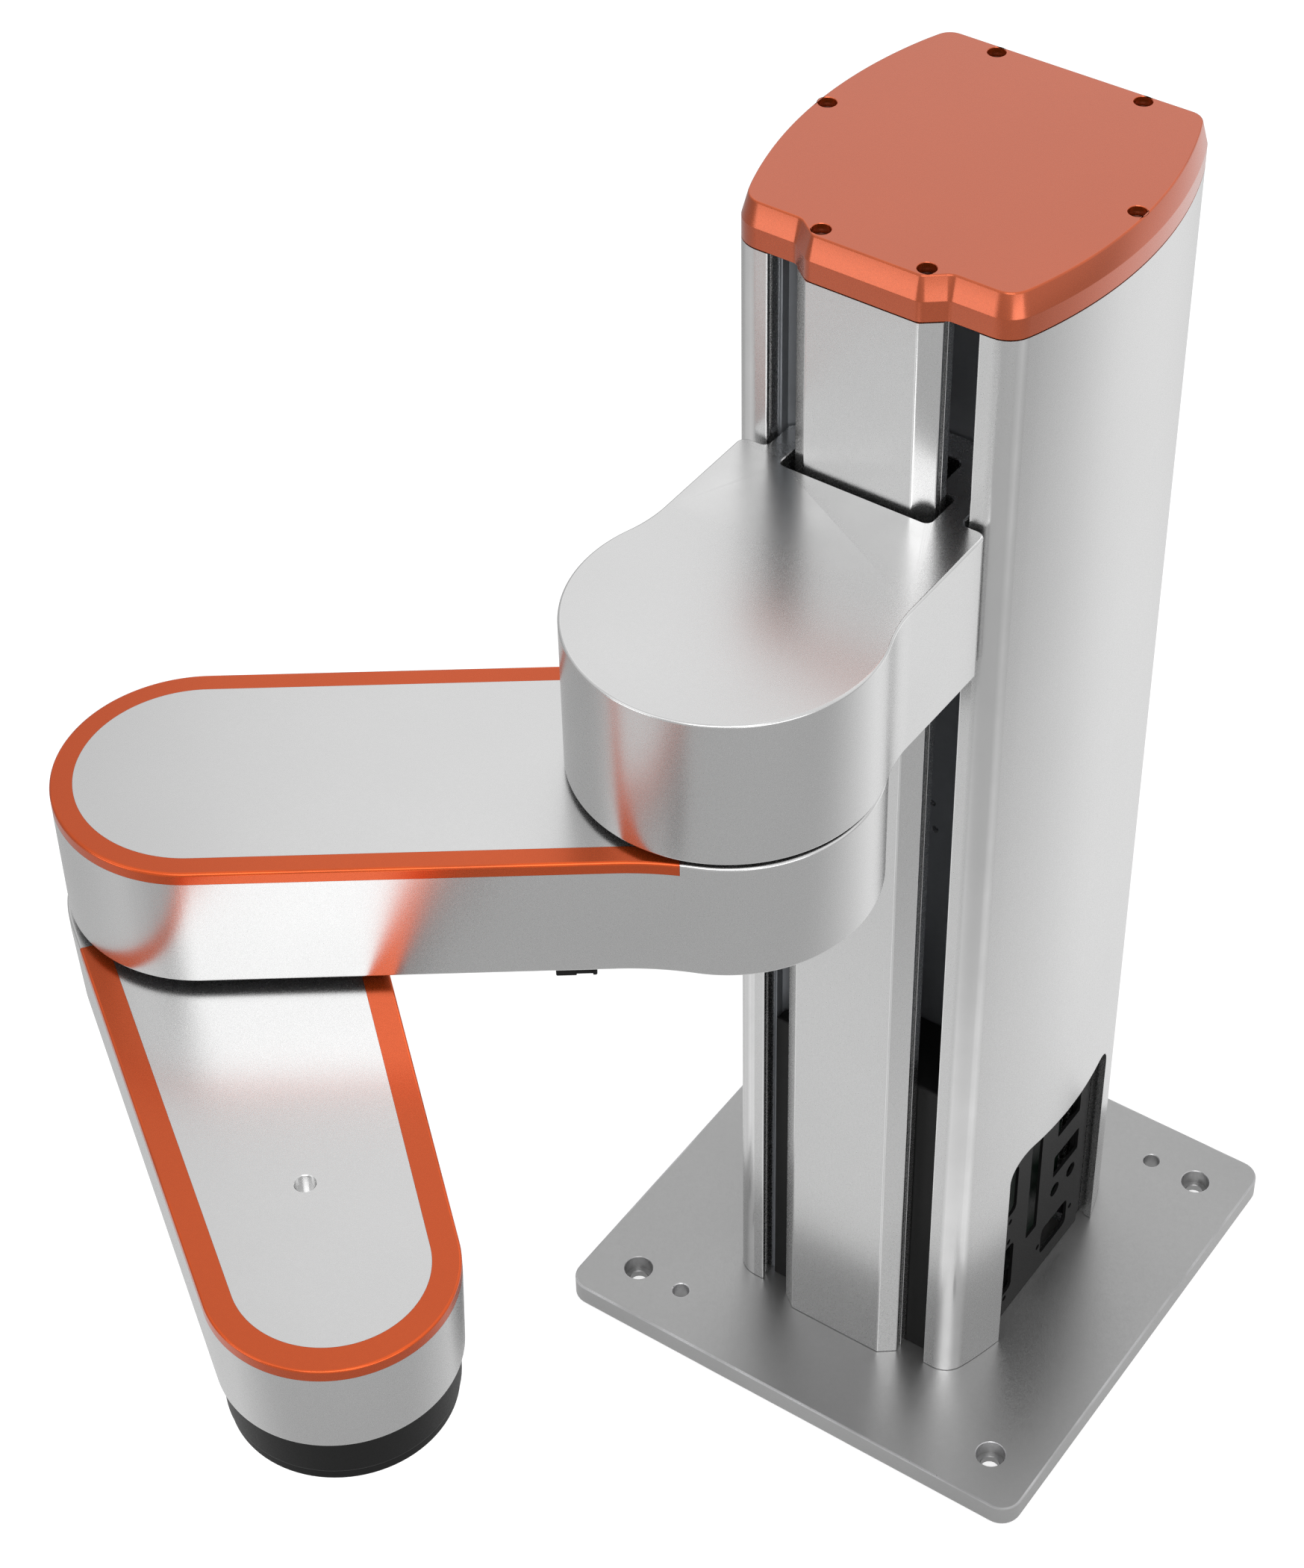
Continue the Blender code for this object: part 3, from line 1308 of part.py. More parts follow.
# Tool flange and its shaft: they turn together about the wrist
flange_high = wrist_low - GAP
flange_low = flange_high - FLANGE_THICK
tool_flange = solid(
    "tool_flange",
    [
        lathe(
            wrist,
            [
                (0, flange_low + FLANGE_RECESS_DEPTH),
                (FLANGE_RECESS, flange_low + FLANGE_RECESS_DEPTH),
                (FLANGE_RECESS, flange_low),
                (FLANGE_RADIUS - FLANGE_EDGE, flange_low),
                (FLANGE_RADIUS, flange_low + FLANGE_EDGE),
                (FLANGE_RADIUS, flange_high),
                (0, flange_high),
            ],
            FINE,
        )
    ],
    black,
)
flange_holes = []
for number in range(4):
    angle = math.radians(90 * number + 45)
    spot = (wrist[0] + FLANGE_CIRCLE * math.cos(angle), wrist[1] + FLANGE_CIRCLE * math.sin(angle))
    flange_holes.append(disc(spot, FLANGE_BORE / 2, flange_low - OVER, flange_high + OVER, COARSE))
cut(tool_flange, flange_holes)
shaft_high = r_reducer_low - GAP
shaft_low = flange_high + GAP
solid("r_shaft", [disc(wrist, R_SHAFT_RADIUS, shaft_low, shaft_high, MEDIUM)], steel)

# Joints: each moving body hangs from an empty on its joint's axis
bodies = {
    "screw_axis": (
        (0, SCREW_Y, screw_low),
        None,
        ("ball_screw", "shaft_coupling"),
    ),
    "carriage_axis": (
        (0, SCREW_Y, nut_top),
        None,
        (
            "shoulder_bracket",
            "guide_block",
            "block_wiper_lower",
            "block_wiper_upper",
            "ball_nut",
            "nut_bracket",
            "j1_motor",
            "j1_reducer",
            "j1_mount_plate",
            "j1_bearing",
        ),
    ),
    "j1_axis": (
        (0, J1_Y, arm1_high),
        "carriage_axis",
        (
            "arm1_housing",
            "arm1_trim",
            "arm1_bottom_cover",
            "arm1_port_block",
            "j1_output_hub",
            "j2_motor",
            "j2_reducer",
            "j2_bearing",
        ),
    ),
    "j2_axis": (
        (elbow[0], elbow[1], arm2_high),
        "j1_axis",
        (
            "arm2_housing",
            "arm2_trim",
            "arm2_bottom_cover",
            "j2_output_hub",
            "r_motor",
            "r_reducer",
            "wrist_housing",
            "r_bearing",
        ),
    ),
    "r_axis": (
        (wrist[0], wrist[1], flange_high),
        "j2_axis",
        ("tool_flange", "r_shaft"),
    ),
}


def hold(child, parent):
    """Parents one object to another without moving it."""
    bpy.context.view_layer.update()
    child.parent = parent
    child.matrix_parent_inverse = parent.matrix_world.inverted()


for axis_name, (spot, parent_name, node_names) in bodies.items():
    empty = bpy.data.objects.new(axis_name, None)
    empty.location = [value * MM for value in spot]
    bpy.context.scene.collection.objects.link(empty)
    if parent_name is not None:
        hold(empty, bpy.data.objects[parent_name])
    bpy.context.view_layer.update()
    for node_name in node_names:
        hold(bpy.data.objects[node_name], empty)
bpy.context.view_layer.update()
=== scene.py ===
"""Looks of the SCARA robot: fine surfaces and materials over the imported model, on a pale floor.

The camera, the lamps and the floor are in metres. The robot's pieces are drawn in millimetres and
become metres where their meshes are made. The front is towards -Y, the side on the right as seen
from the front is towards +X, and Z is up.
"""

import math

import bmesh
import bpy
import numpy as np
from mathutils import Matrix, Vector, geometry


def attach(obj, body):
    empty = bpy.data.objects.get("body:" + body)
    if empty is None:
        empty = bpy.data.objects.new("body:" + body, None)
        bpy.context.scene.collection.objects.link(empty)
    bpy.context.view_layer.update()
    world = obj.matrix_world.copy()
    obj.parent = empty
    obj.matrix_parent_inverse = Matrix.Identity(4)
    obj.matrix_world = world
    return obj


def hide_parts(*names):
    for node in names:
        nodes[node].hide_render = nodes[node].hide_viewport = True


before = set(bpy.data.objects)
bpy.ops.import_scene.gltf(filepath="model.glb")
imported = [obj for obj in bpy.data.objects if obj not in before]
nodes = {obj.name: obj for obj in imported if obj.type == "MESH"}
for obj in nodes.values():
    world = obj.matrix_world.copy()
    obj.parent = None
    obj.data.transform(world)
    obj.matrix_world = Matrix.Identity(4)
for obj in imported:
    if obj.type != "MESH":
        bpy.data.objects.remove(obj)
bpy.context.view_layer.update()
scene = bpy.context.scene

# The camera stands in front of the robot, to the right, and looks down on it.
# Its place, aim and lens were fitted to the photograph's straight edges and known heights.
camera_spot = Vector((0.54476, -0.96848, 1.32806))
camera_yaw = math.radians(-33.7236)
camera_pitch = math.radians(42.6109)
camera_data = bpy.data.cameras.new("view")
camera_data.sensor_fit = "AUTO"
camera_data.sensor_width = 36.0
camera_data.lens = 79.205
camera_data.shift_x = -0.0621
camera_data.shift_y = -0.0013
camera_data.clip_start = 0.05
camera_data.clip_end = 20.0
camera = bpy.data.objects.new("view", camera_data)
level = math.cos(camera_pitch)
ahead = Vector(
    (math.sin(camera_yaw) * level, math.cos(camera_yaw) * level, -math.sin(camera_pitch))
)
to_right = ahead.cross(Vector((0, 0, 1))).normalized()
upwards = to_right.cross(ahead)
camera_turn = Matrix((to_right, upwards, -ahead)).transposed().to_4x4()
camera.matrix_world = Matrix.Translation(camera_spot) @ camera_turn
scene.collection.objects.link(camera)
scene.camera = camera

# The room is a pale studio, brighter overhead than low down. The floor is matt white paper that the
# eye sees lifted to white. Polished metal sees it glow as well, most behind the robot, less on the
# left and in front on the right. The eye sees none of the five softboxes, two of which stand low.
scene.view_settings.view_transform = "Standard"
white = (1, 1, 1, 1)
room_slope = (0.14, 0.05, 0.30)
room_level = 0.55


def reckoned(web, operation, *values):
    """Output of a maths node over numbers and the outputs of other nodes."""
    node = web.nodes.new("ShaderNodeMath")
    node.operation = operation
    for socket, value in zip(node.inputs, values):
        if isinstance(value, bpy.types.NodeSocket):
            web.links.new(value, socket)
        else:
            socket.default_value = value
    return node.outputs[0]


def ramp(web, source, slope, level):
    """Value level + slope . position, held at 0 or more, of a coordinate's output."""
    share = web.nodes.new("ShaderNodeVectorMath")
    share.operation = "DOT_PRODUCT"
    share.inputs[1].default_value = slope
    web.links.new(source, share.inputs[0])
    raised = reckoned(web, "ADD", share.outputs["Value"], level)
    return reckoned(web, "MAXIMUM", raised, 0.0)


surround = bpy.data.worlds.new("surround")
surround.use_nodes = True
tree = surround.node_tree
direction = tree.nodes.new("ShaderNodeTexCoord").outputs["Generated"]
room = tree.nodes["Background"]
room.inputs["Color"].default_value = white
tree.links.new(ramp(tree, direction, room_slope, room_level), room.inputs["Strength"])
backdrop = tree.nodes.new("ShaderNodeBackground")
backdrop.inputs["Color"].default_value = white
backdrop.inputs["Strength"].default_value = 1.0
pick = tree.nodes.new("ShaderNodeMixShader")
seen = tree.nodes.new("ShaderNodeLightPath")
tree.links.new(seen.outputs["Is Camera Ray"], pick.inputs["Fac"])
tree.links.new(room.outputs[0], pick.inputs[1])
tree.links.new(backdrop.outputs[0], pick.inputs[2])
tree.links.new(pick.outputs[0], tree.nodes["World Output"].inputs["Surface"])
scene.world = surround

floor_reach = 4.0
floor_height = -0.0004
floor_mesh = bpy.data.meshes.new("floor")
floor_corners = [
    (-floor_reach, -floor_reach, floor_height),
    (floor_reach, -floor_reach, floor_height),
    (floor_reach, floor_reach, floor_height),
    (-floor_reach, floor_reach, floor_height),
]
floor_mesh.from_pydata(floor_corners, [], [(0, 1, 2, 3)])
floor = bpy.data.objects.new("floor", floor_mesh)
scene.collection.objects.link(floor)
paper = bpy.data.materials.new("white_paper")
paper.use_nodes = True
tree = paper.node_tree
paper_shader = tree.nodes["Principled BSDF"]
paper_shader.inputs["Base Color"].default_value = (0.50, 0.50, 0.50, 1)
paper_shader.inputs["Roughness"].default_value = 0.9
paper_shader.inputs["Specular IOR Level"].default_value = 0.0
glow_for_eye = 0.72
most_glow = 0.55
seen = tree.nodes.new("ShaderNodeLightPath")
spot_on_floor = tree.nodes.new("ShaderNodeTexCoord").outputs["Object"]
less_in_front_right = ramp(tree, spot_on_floor, (-0.8, 0.8, 0.0), 0.51)
less_on_left = ramp(tree, spot_on_floor, (0.50, 0.0, 0.0), 0.42)
for_metal = reckoned(tree, "MINIMUM", less_in_front_right, less_on_left)
for_metal = reckoned(tree, "MINIMUM", for_metal, most_glow)
for_eye = reckoned(tree, "MULTIPLY", seen.outputs["Is Camera Ray"], glow_for_eye)
strength = reckoned(tree, "MULTIPLY_ADD", for_metal, seen.outputs["Is Glossy Ray"], for_eye)
glow = tree.nodes.new("ShaderNodeEmission")
both = tree.nodes.new("ShaderNodeAddShader")
tree.links.new(strength, glow.inputs["Strength"])
tree.links.new(paper_shader.outputs[0], both.inputs[0])
tree.links.new(glow.outputs[0], both.inputs[1])
tree.links.new(both.outputs[0], tree.nodes["Material Output"].inputs["Surface"])
floor_mesh.materials.append(paper)

lamp_target = Vector((0.0, -0.1, 0.3))
softboxes = (  # name, place, width, height, watts
    ("front", (0.966, -1.773, 2.04), 1.6, 1.6, 13.0),
    ("behind", (-0.966, 1.573, 2.04), 1.6, 1.6, 2.5),
    ("left", (-0.966, -1.773, 2.04), 1.6, 1.6, 4.0),
    ("low right", (2.296, -1.321, 0.41), 1.9, 0.8, 9.0),
    ("low left", (-1.098, -2.455, 0.41), 1.2, 0.8, 5.0),
)
for box_name, spot, wide, high, watts in softboxes:
    lamp = bpy.data.lights.new(box_name, "AREA")
    lamp.shape = "RECTANGLE"
    lamp.size = wide
    lamp.size_y = high
    lamp.energy = watts
    holder = bpy.data.objects.new(box_name, lamp)
    holder.location = spot
    holder.rotation_euler = (lamp_target - Vector(spot)).to_track_quat("-Z", "Y").to_euler()
    holder.visible_camera = False
    scene.collection.objects.link(holder)

# The base plate is sawn from aluminium plate, milled, bead blasted and left grey. Its edges are
# rounded a little, four counterbored holes take the mounting screws and two reamed holes locate it.
MM = 0.001  # metres
HOLD = 0.2  # from a rounding to the next row of points, which keeps a flat face flat in shading


def unit(rows):
    """Each row divided by its length."""
    return rows / np.maximum(np.linalg.norm(rows, axis=1, keepdims=True), 1e-9)


def filleted(corners, steps=6):
    """Closed outline through rows of (x, y, radius), as rows of (x, y, mark).

    Where the sides meet at twice the angle h, an arc of radius r has its centre r / sin h from the
    corner along the sides' bisector and starts r / tan h along each side. Its points are marked 1.
    A point HOLD beyond each end of an arc keeps the side flat in shading.
    """
    corners = np.array(corners, float)
    spot = corners[:, :2]
    radius = corners[:, 2:]
    back = unit(np.roll(spot, 1, axis=0) - spot)
    onward = unit(np.roll(spot, -1, axis=0) - spot)
    half = np.arccos(np.clip((back * onward).sum(1, keepdims=True), -1, 1)) / 2
    reach = radius / np.tan(half)
    middle = spot + unit(back + onward) * radius / np.sin(half)
    first = spot + back * reach - middle
    last = spot + onward * reach - middle
    turn = np.arctan2(first[:, 0] * last[:, 1] - first[:, 1] * last[:, 0], (first * last).sum(1))
    angle = turn[:, None] * np.linspace(0, 1, steps + 1)
    x = first[:, :1] * np.cos(angle) - first[:, 1:] * np.sin(angle)
    y = first[:, :1] * np.sin(angle) + first[:, 1:] * np.cos(angle)
    arcs = middle[:, None] + np.stack((x, y), axis=-1)
    beyond = reach + HOLD * (radius > 0)
    before = (spot + back * beyond)[:, None]
    after = (spot + onward * beyond)[:, None]
    rows = np.concatenate((before, arcs, after), axis=1)
    marks = np.ones(rows.shape[:2])
    marks[:, [0, -1]] = 0
    keep = np.ones(rows.shape[:2], bool)
    keep[radius[:, 0] == 0, 1:] = False
    return np.column_stack((rows[keep], marks[keep]))


def arc(centre, radius, first, last, steps):
    """Points of an arc at angles spread evenly from first to last, in degrees."""
    angle = np.radians(np.linspace(first, last, steps + 1))
    return np.column_stack((centre[0] + radius * np.cos(angle), centre[1] + radius * np.sin(angle)))


def moved_in(outline, distance):
    """Closed outline with every side moved to the left of its direction.

    Each point goes along the sum of the normals of its two sides, times the distance over 1 plus
    the normals' product.
    """
    side = unit(np.roll(outline, -1, axis=0) - outline)
    normal = np.column_stack((-side[:, 1], side[:, 0]))
    before = np.roll(normal, 1, axis=0)
    return outline + (normal + before) * distance / (1 + (normal * before).sum(1, keepdims=True))


def rim(outline, end, radius, up, steps=4):
    """Rings (outline, height, mark) of a wall's rounded end, from the wall to the flat face.

    At turn t the ring lies r (1 - cos t) further in and r (1 - sin t) short of the end. The rings
    before and after the rounding keep the wall and the face flat in shading.
    """
    side = 1 if up else -1
    rings = [(outline, end - side * (radius + HOLD), 0)]
    for turn in np.radians(np.linspace(0, 90, steps + 1)):
        inward = radius * (1 - math.cos(turn))
        rings.append((moved_in(outline, inward), end - side * radius * (1 - math.sin(turn)), 1))
    rings.append((moved_in(outline, radius + HOLD), end, 0))
    return rings


def quads(count, rings):
    """Faces between successive rings of count points, each point joined to its like in the next."""
    here = np.arange(count)
    beside = (here + 1) % count
    low = np.arange(rings - 1)[:, None] * count
    high = low + count
    corners = (low + here, low + beside, high + beside, high + here)
    return np.stack(corners, axis=-1).reshape(-1, 4)


def wall(rings):
    """(points, faces, marks) of the wall through closed rings (outline, height, mark)."""
    count = len(rings[0][0])
    levels = [np.column_stack((outline, np.full(count, height))) for outline, height, _ in rings]
    marks = np.repeat([float(mark) for _, _, mark in rings], count)
    return np.concatenate(levels), quads(count, len(rings)), marks


def flat(loops, height):
    """(points, faces, marks) of the flat face inside the first loop and outside the others."""
    rows = np.concatenate(loops)
    points = np.column_stack((rows, np.full(len(rows), height)))
    flat_loops = [np.column_stack((loop, np.zeros(len(loop)))).tolist() for loop in loops]
    faces = np.array(geometry.tessellate_polygon(flat_loops))
    return points, faces, np.zeros(len(points))


def closed(rings, holes=(), pocket=None):
    """Shapes of a solid: its wall, its flat ends, holes from the top down and a pocket from below.

    A hole that ends at the height of the lower face or of the pocket's roof opens into it. Any
    other is blind.
    """
    near = 0.001

    def mouths(height):
        return [hole[-1][0] for hole in holes if abs(hole[-1][1] - height) < near]

    low = rings[0][1]
    shapes = [wall(rings), flat([rings[-1][0]] + [hole[0][0] for hole in holes], rings[-1][1])]
    if pocket is None:
        faces_below = [low]
        shapes.append(flat([rings[0][0], *mouths(low)], low))
    else:
        roof = pocket[-1][1]
        faces_below = [low, roof]
        shapes.append(flat([rings[0][0], pocket[0][0], *mouths(low)], low))
        shapes += [wall(pocket), flat([pocket[-1][0], *mouths(roof)], roof)]
    for hole in holes:
        shapes.append(wall(hole))
        end = hole[-1][1]
        if min(abs(end - height) for height in faces_below) >= near:
            shapes.append(flat([hole[-1][0]], end))
    return shapes


def bore(centre, steps, *stages):
    """Rings of a round hole through (radius, height, mark) stages, from the top face downwards.

    The first ring lies just outside the mouth, so that the face round it stays flat in shading.
    """
    first = (stages[0][0] + HOLD, stages[0][1], 0)
    rings = []
    for radius, height, mark in (first, *stages):
        rings.append((arc(centre, radius, 0, 360 - 360 / steps, steps - 1), height, mark))
    return rings


def shaped(name, shapes, weld=2e-6):
    """Mesh of shapes, with points closer than weld metres joined and the faces turned outwards."""
    starts = np.cumsum([0] + [len(shape[0]) for shape in shapes])
    points = np.concatenate([shape[0] for shape in shapes]) * MM
    faces = [face for start, shape in zip(starts, shapes) for face in (shape[1] + start).tolist()]
    marks = np.concatenate([shape[2] for shape in shapes])
    mesh = bpy.data.meshes.new(name)
    mesh.from_pydata(points.tolist(), [], faces)
    mesh.attributes.new("edge", "FLOAT", "POINT").data.foreach_set("value", marks)
    form = bmesh.new()
    form.from_mesh(mesh)
    bmesh.ops.remove_doubles(form, verts=form.verts, dist=weld)
    bmesh.ops.recalc_face_normals(form, faces=form.faces)
    form.to_mesh(mesh)
    form.free()
    return mesh


def smoothed(mesh, sharp=32):
    """Shades a mesh smooth, apart from edges that turn by more than sharp degrees."""
    mesh.shade_smooth()
    mesh.set_sharp_from_angle(angle=math.radians(sharp))


def piece(name, shapes, look, slot, body, *replaced):
    """Finished object of shapes, which rides on a body, has a material and stands for CAD nodes."""
    made = bpy.data.objects.new(name, shaped(name, shapes))
    scene.collection.objects.link(made)
    smoothed(made.data)
    made.data.materials.append(look)
    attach(made, body)
    if replaced:
        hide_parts(*replaced)
    return made


def tone(red, green, blue):
    """Linear colour of a colour given as it looks on a screen, from 0 to 255."""
    value = np.array([red, green, blue]) / 255
    linear = np.where(value < 0.04045, value / 12.92, ((value + 0.055) / 1.055) ** 2.4)
    return (*linear.tolist(), 1.0)


def look_of(
    name,
    dark,
    light,
    rough,
    metallic,
    grain,
    depth,
    highlight_and_wear=None,
    stretch=(1, 1, 1),
    coat=0.0,
    highlight_and_wear_range=(0.15, 0.9),
    shine=0.5,
):
    """Procedural finish in Object coordinates.

    A broad noise moves the colour from dark to light and a middle one adds a weak mottle. A fine
    noise of grain cells to the metre moves the roughness over the range rough and lifts the surface
    by depth metres. Where points are marked as an edge, a slow noise turns the colour towards the
    given edge colour by a share in the given range, and the surface gets smoother: a painted
    highlight along roundings and corners, with some real wear. Shine is the level of the clear
    reflection of paint and plastic.
    """
    broad_grain = 9.0
    mottle_grain = grain * 0.31
    mottle_shade = 0.98
    highlight_and_wear_grain = 34.0
    edge_polish = -0.08
    made = bpy.data.materials.new(name)
    made.use_nodes = True
    web = made.node_tree
    shader = web.nodes["Principled BSDF"]
    plain = web.nodes.new("ShaderNodeTexCoord").outputs["Object"]
    mapping = web.nodes.new("ShaderNodeMapping")
    mapping.inputs["Scale"].default_value = stretch
    web.links.new(plain, mapping.inputs["Vector"])
    stretched = mapping.outputs["Vector"]

    def noise(scale, detail, source):
        node = web.nodes.new("ShaderNodeTexNoise")
        node.inputs["Scale"].default_value = scale
        node.inputs["Detail"].default_value = detail
        web.links.new(source, node.inputs["Vector"])
        return node.outputs["Fac"]

    def ranged(value, low, high, to_low, to_high):
        node = web.nodes.new("ShaderNodeMapRange")
        node.inputs["From Min"].default_value = low
        node.inputs["From Max"].default_value = high
        node.inputs["To Min"].default_value = to_low
        node.inputs["To Max"].default_value = to_high
        web.links.new(value, node.inputs["Value"])
        return node.outputs["Result"]

    def blended(share, first, second):
        node = web.nodes.new("ShaderNodeMix")
        node.data_type = "RGBA"
        web.links.new(share, node.inputs["Factor"])
        for socket, value in ((node.inputs["A"], first), (node.inputs["B"], second)):
            if isinstance(value, tuple):
                socket.default_value = value
            else:
                web.links.new(value, socket)
        return node.outputs["Result"]

    broad = noise(broad_grain, 3.0, plain)
    fine = noise(grain, 2.0, stretched)
    mottle = noise(mottle_grain, 3.0, stretched)
    colour = blended(ranged(broad, 0.3, 0.7, 0, 1), dark, light)
    darker = tuple(value * mottle_shade for value in dark[:3]) + (1.0,)
    colour = blended(ranged(mottle, 0.35, 0.75, 0.35, 0), colour, darker)
    roughness = ranged(fine, 0.3, 0.7, *rough)
    # Marked edges take the edge colour: a painted highlight, with some real wear.
    if highlight_and_wear is not None:
        edge = web.nodes.new("ShaderNodeAttribute")
        edge.attribute_name = "edge"
        patches = ranged(noise(highlight_and_wear_grain, 4.0, plain), 0.35, 0.7, *highlight_and_wear_range)
        highlight_and_wear_share = reckoned(web, "MULTIPLY", edge.outputs["Fac"], patches)
        colour = blended(highlight_and_wear_share, colour, highlight_and_wear)
        roughness = reckoned(web, "MULTIPLY_ADD", highlight_and_wear_share, edge_polish, roughness)
    bump = web.nodes.new("ShaderNodeBump")
    bump.inputs["Distance"].default_value = depth
    bump.inputs["Strength"].default_value = 1.0
    web.links.new(fine, bump.inputs["Height"])
    web.links.new(bump.outputs["Normal"], shader.inputs["Normal"])
    web.links.new(colour, shader.inputs["Base Color"])
    web.links.new(roughness, shader.inputs["Roughness"])
    shader.inputs["Metallic"].default_value = metallic
    shader.inputs["Coat Weight"].default_value = coat
    shader.inputs["Coat Roughness"].default_value = 0.25
    shader.inputs["Specular IOR Level"].default_value = shine
    return made


# Its rounded edges and hole mouths are painted lighter: a painted highlight, with some real wear.
base_look = look_of(
    "base_grey_look",
    dark=tone(168, 168, 168),
    light=tone(176, 176, 176),
    rough=(0.30, 0.40),
    metallic=0.9,
    grain=1500.0,
    depth=0.00002,
    highlight_and_wear=tone(222, 222, 224),
)
base_half = 125.0
base_top = 11.7
base_corner = 10.0
base_edge = 0.8
base_corners = [
    (-base_half, -base_half, base_corner),
    (base_half, -base_half, base_corner),
    (base_half, base_half, base_corner),
    (-base_half, base_half, base_corner),
]
base_outline = filleted(base_corners, 10)[:, :2]
base_rings = rim(base_outline, 0, base_edge, False, 2)[::-1]
base_rings += rim(base_outline, base_top, base_edge, True, 2)
bolt_spread = 100.0
bolt_radius = 4.5
bolt_lead = 0.4
counterbore_radius = 6.9
counterbore_floor = 3.7
counterbore_mouth = 0.3
base_holes = []
for hole_x in (-bolt_spread, bolt_spread):
    for hole_y in (-bolt_spread, bolt_spread):
        stages = (
            (counterbore_radius + counterbore_mouth, base_top, 1),
            (counterbore_radius, base_top - counterbore_mouth, 1),
            (counterbore_radius, counterbore_floor, 0),
            (bolt_radius + bolt_lead, counterbore_floor, 0),
            (bolt_radius, counterbore_floor - bolt_lead, 0),
            (bolt_radius, 0, 0),
        )
        base_holes.append(bore((hole_x, hole_y), 48, *stages))
dowel_radius = 4.0
dowel_lead = 0.4
dowel_x = 75.0
for centre in ((-dowel_x, -bolt_spread), (dowel_x, bolt_spread)):
    stages = (
        (dowel_radius + dowel_lead, base_top, 1),
        (dowel_radius, base_top - dowel_lead, 1),
        (dowel_radius, 0, 0),
    )
    base_holes.append(bore(centre, 40, *stages))
base_shapes = closed(base_rings, base_holes)
piece("base_plate_fine", base_shapes, base_look, "base_grey", "column", "base_plate")

# The column is an aluminium extrusion, bead blasted and anodised, open at the front between two
# grooved lips. One flank has a milled window for the connectors, whose wall follows the bulge.
# Its rounded corners, lips and the spine's bevels are painted almost white along their whole length:
# a painted highlight.
extruded_look = look_of(
    "extruded_aluminium_look",
    dark=tone(216, 216, 216),
    light=tone(221, 221, 221),
    rough=(0.255, 0.28),
    metallic=1.0,
    grain=1900.0,
    depth=0.0000006,
    highlight_and_wear=tone(252, 252, 252),
    stretch=(1, 1, 0.6),
    highlight_and_wear_range=(0.7, 1.0),
)
column_low = 12.0
column_high = 606.4
column_front = -72.0
column_back = 77.5
front_corner = 12.0
back_corner = 10.0
flank_margin = 12.0
slot_half = 45.7
shell_wall = 3.5
bulge_radius = 193.0
bulge_centre = (-119.0, 2.0)
mirror = np.array([-1, 1, 1])


def flank(depth, y):
    """Half-width of the column at y on a surface at a depth inside its flank.

    The flank is an arc of radius R round (cx, cy), which is cx + sqrt((R - depth)^2 - (y - cy)^2).
    """
    return np.sqrt((bulge_radius - depth) ** 2 - (y - bulge_centre[1]) ** 2) + bulge_centre[0]


def sharp_rows(points):
    """Points as rows (x, y, radius) of corners without a fillet."""
    return np.column_stack((points, np.zeros(len(points))))


def shell_side(depth):
    """Rows (x, y, radius) of the right flank from the front corner to the back corner."""
    front = column_front + depth
    back = column_back - depth
    y = np.linspace(column_front + flank_margin, column_back - flank_margin, 40)
    first = [flank(depth, front), front, front_corner - depth]
    last = [flank(depth, back), back, back_corner - depth]
    return np.vstack((first, sharp_rows(np.column_stack((flank(depth, y), y))), last))


def other_side(rows):
    """The same rows on the left side, in the opposite order."""
    return np.array(rows, float)[::-1] * mirror


lip_depth = 9.0
lip_thick = 3.5
groove_near = 2.0
groove_far = 3.5
groove_depth = 1.0
lip = np.array(
    [
        (slot_half, column_front + lip_depth, 0.4),
        (slot_half, column_front + groove_far, 0),
        (slot_half + groove_depth, column_front + groove_far, 0),
        (slot_half + groove_depth, column_front + groove_near, 0),
        (slot_half, column_front + groove_near, 0),
        (slot_half, column_front, 0.6),
    ]
)
lip_back = np.array(
    [
        (slot_half + lip_thick, column_front + shell_wall, 0.5),
        (slot_half + lip_thick, column_front + lip_depth, 0.4),
    ]
)
rib_x = 55.0
rib_thick = 2.5
front_rib = -51.5
back_rib = 51.0
port_wall = 5.0
back_port = (32.6, 70.6)
side_port = (67.7, 2.9)


def rib(front):
    """Rows of an inner rib of the flank, from its root at front, round its tip, to its far root."""
    far = front + rib_thick
    root = (flank(shell_wall, front), front, 0)
    return np.array([root, (rib_x, front, 0), (rib_x, far, 0), (flank(shell_wall, far), far, 0)])


inside = shell_side(shell_wall)
side_turn = math.degrees(math.acos((flank(shell_wall, side_port[1]) - side_port[0]) / port_wall))
side_bump = sharp_rows(arc(side_port, port_wall, -side_turn, side_turn - 360, 24))
back_turn = math.degrees(math.asin((column_back - shell_wall - back_port[1]) / port_wall))
back_bump = sharp_rows(arc(back_port, port_wall, back_turn, -180 - back_turn, 24))
runs = [rib(front_rib), side_bump, rib(back_rib)]
run_gap = 0.5
plain = inside[1:-1]
for run in runs:
    run_front = run[:, 1].min() - run_gap
    run_back = run[:, 1].max() + run_gap
    plain = plain[(plain[:, 1] < run_front) | (plain[:, 1] > run_back)]
side_stretches = []
last_y = -math.inf
for run in runs:
    side_stretches.append(plain[(plain[:, 1] > last_y) & (plain[:, 1] < run[0, 1])])
    side_stretches.append(run)
    last_y = run[-1, 1]
side_stretches.append(plain[plain[:, 1] > last_y])
inner_side = np.vstack((inside[:1], *side_stretches, inside[-1:], back_bump))
shell_rows = np.vstack(
    (
        lip,
        shell_side(0),
        other_side(shell_side(0)),
        other_side(lip),
        other_side(lip_back),
        inner_side * mirror,
        inner_side[::-1],
        lip_back,
    )
)


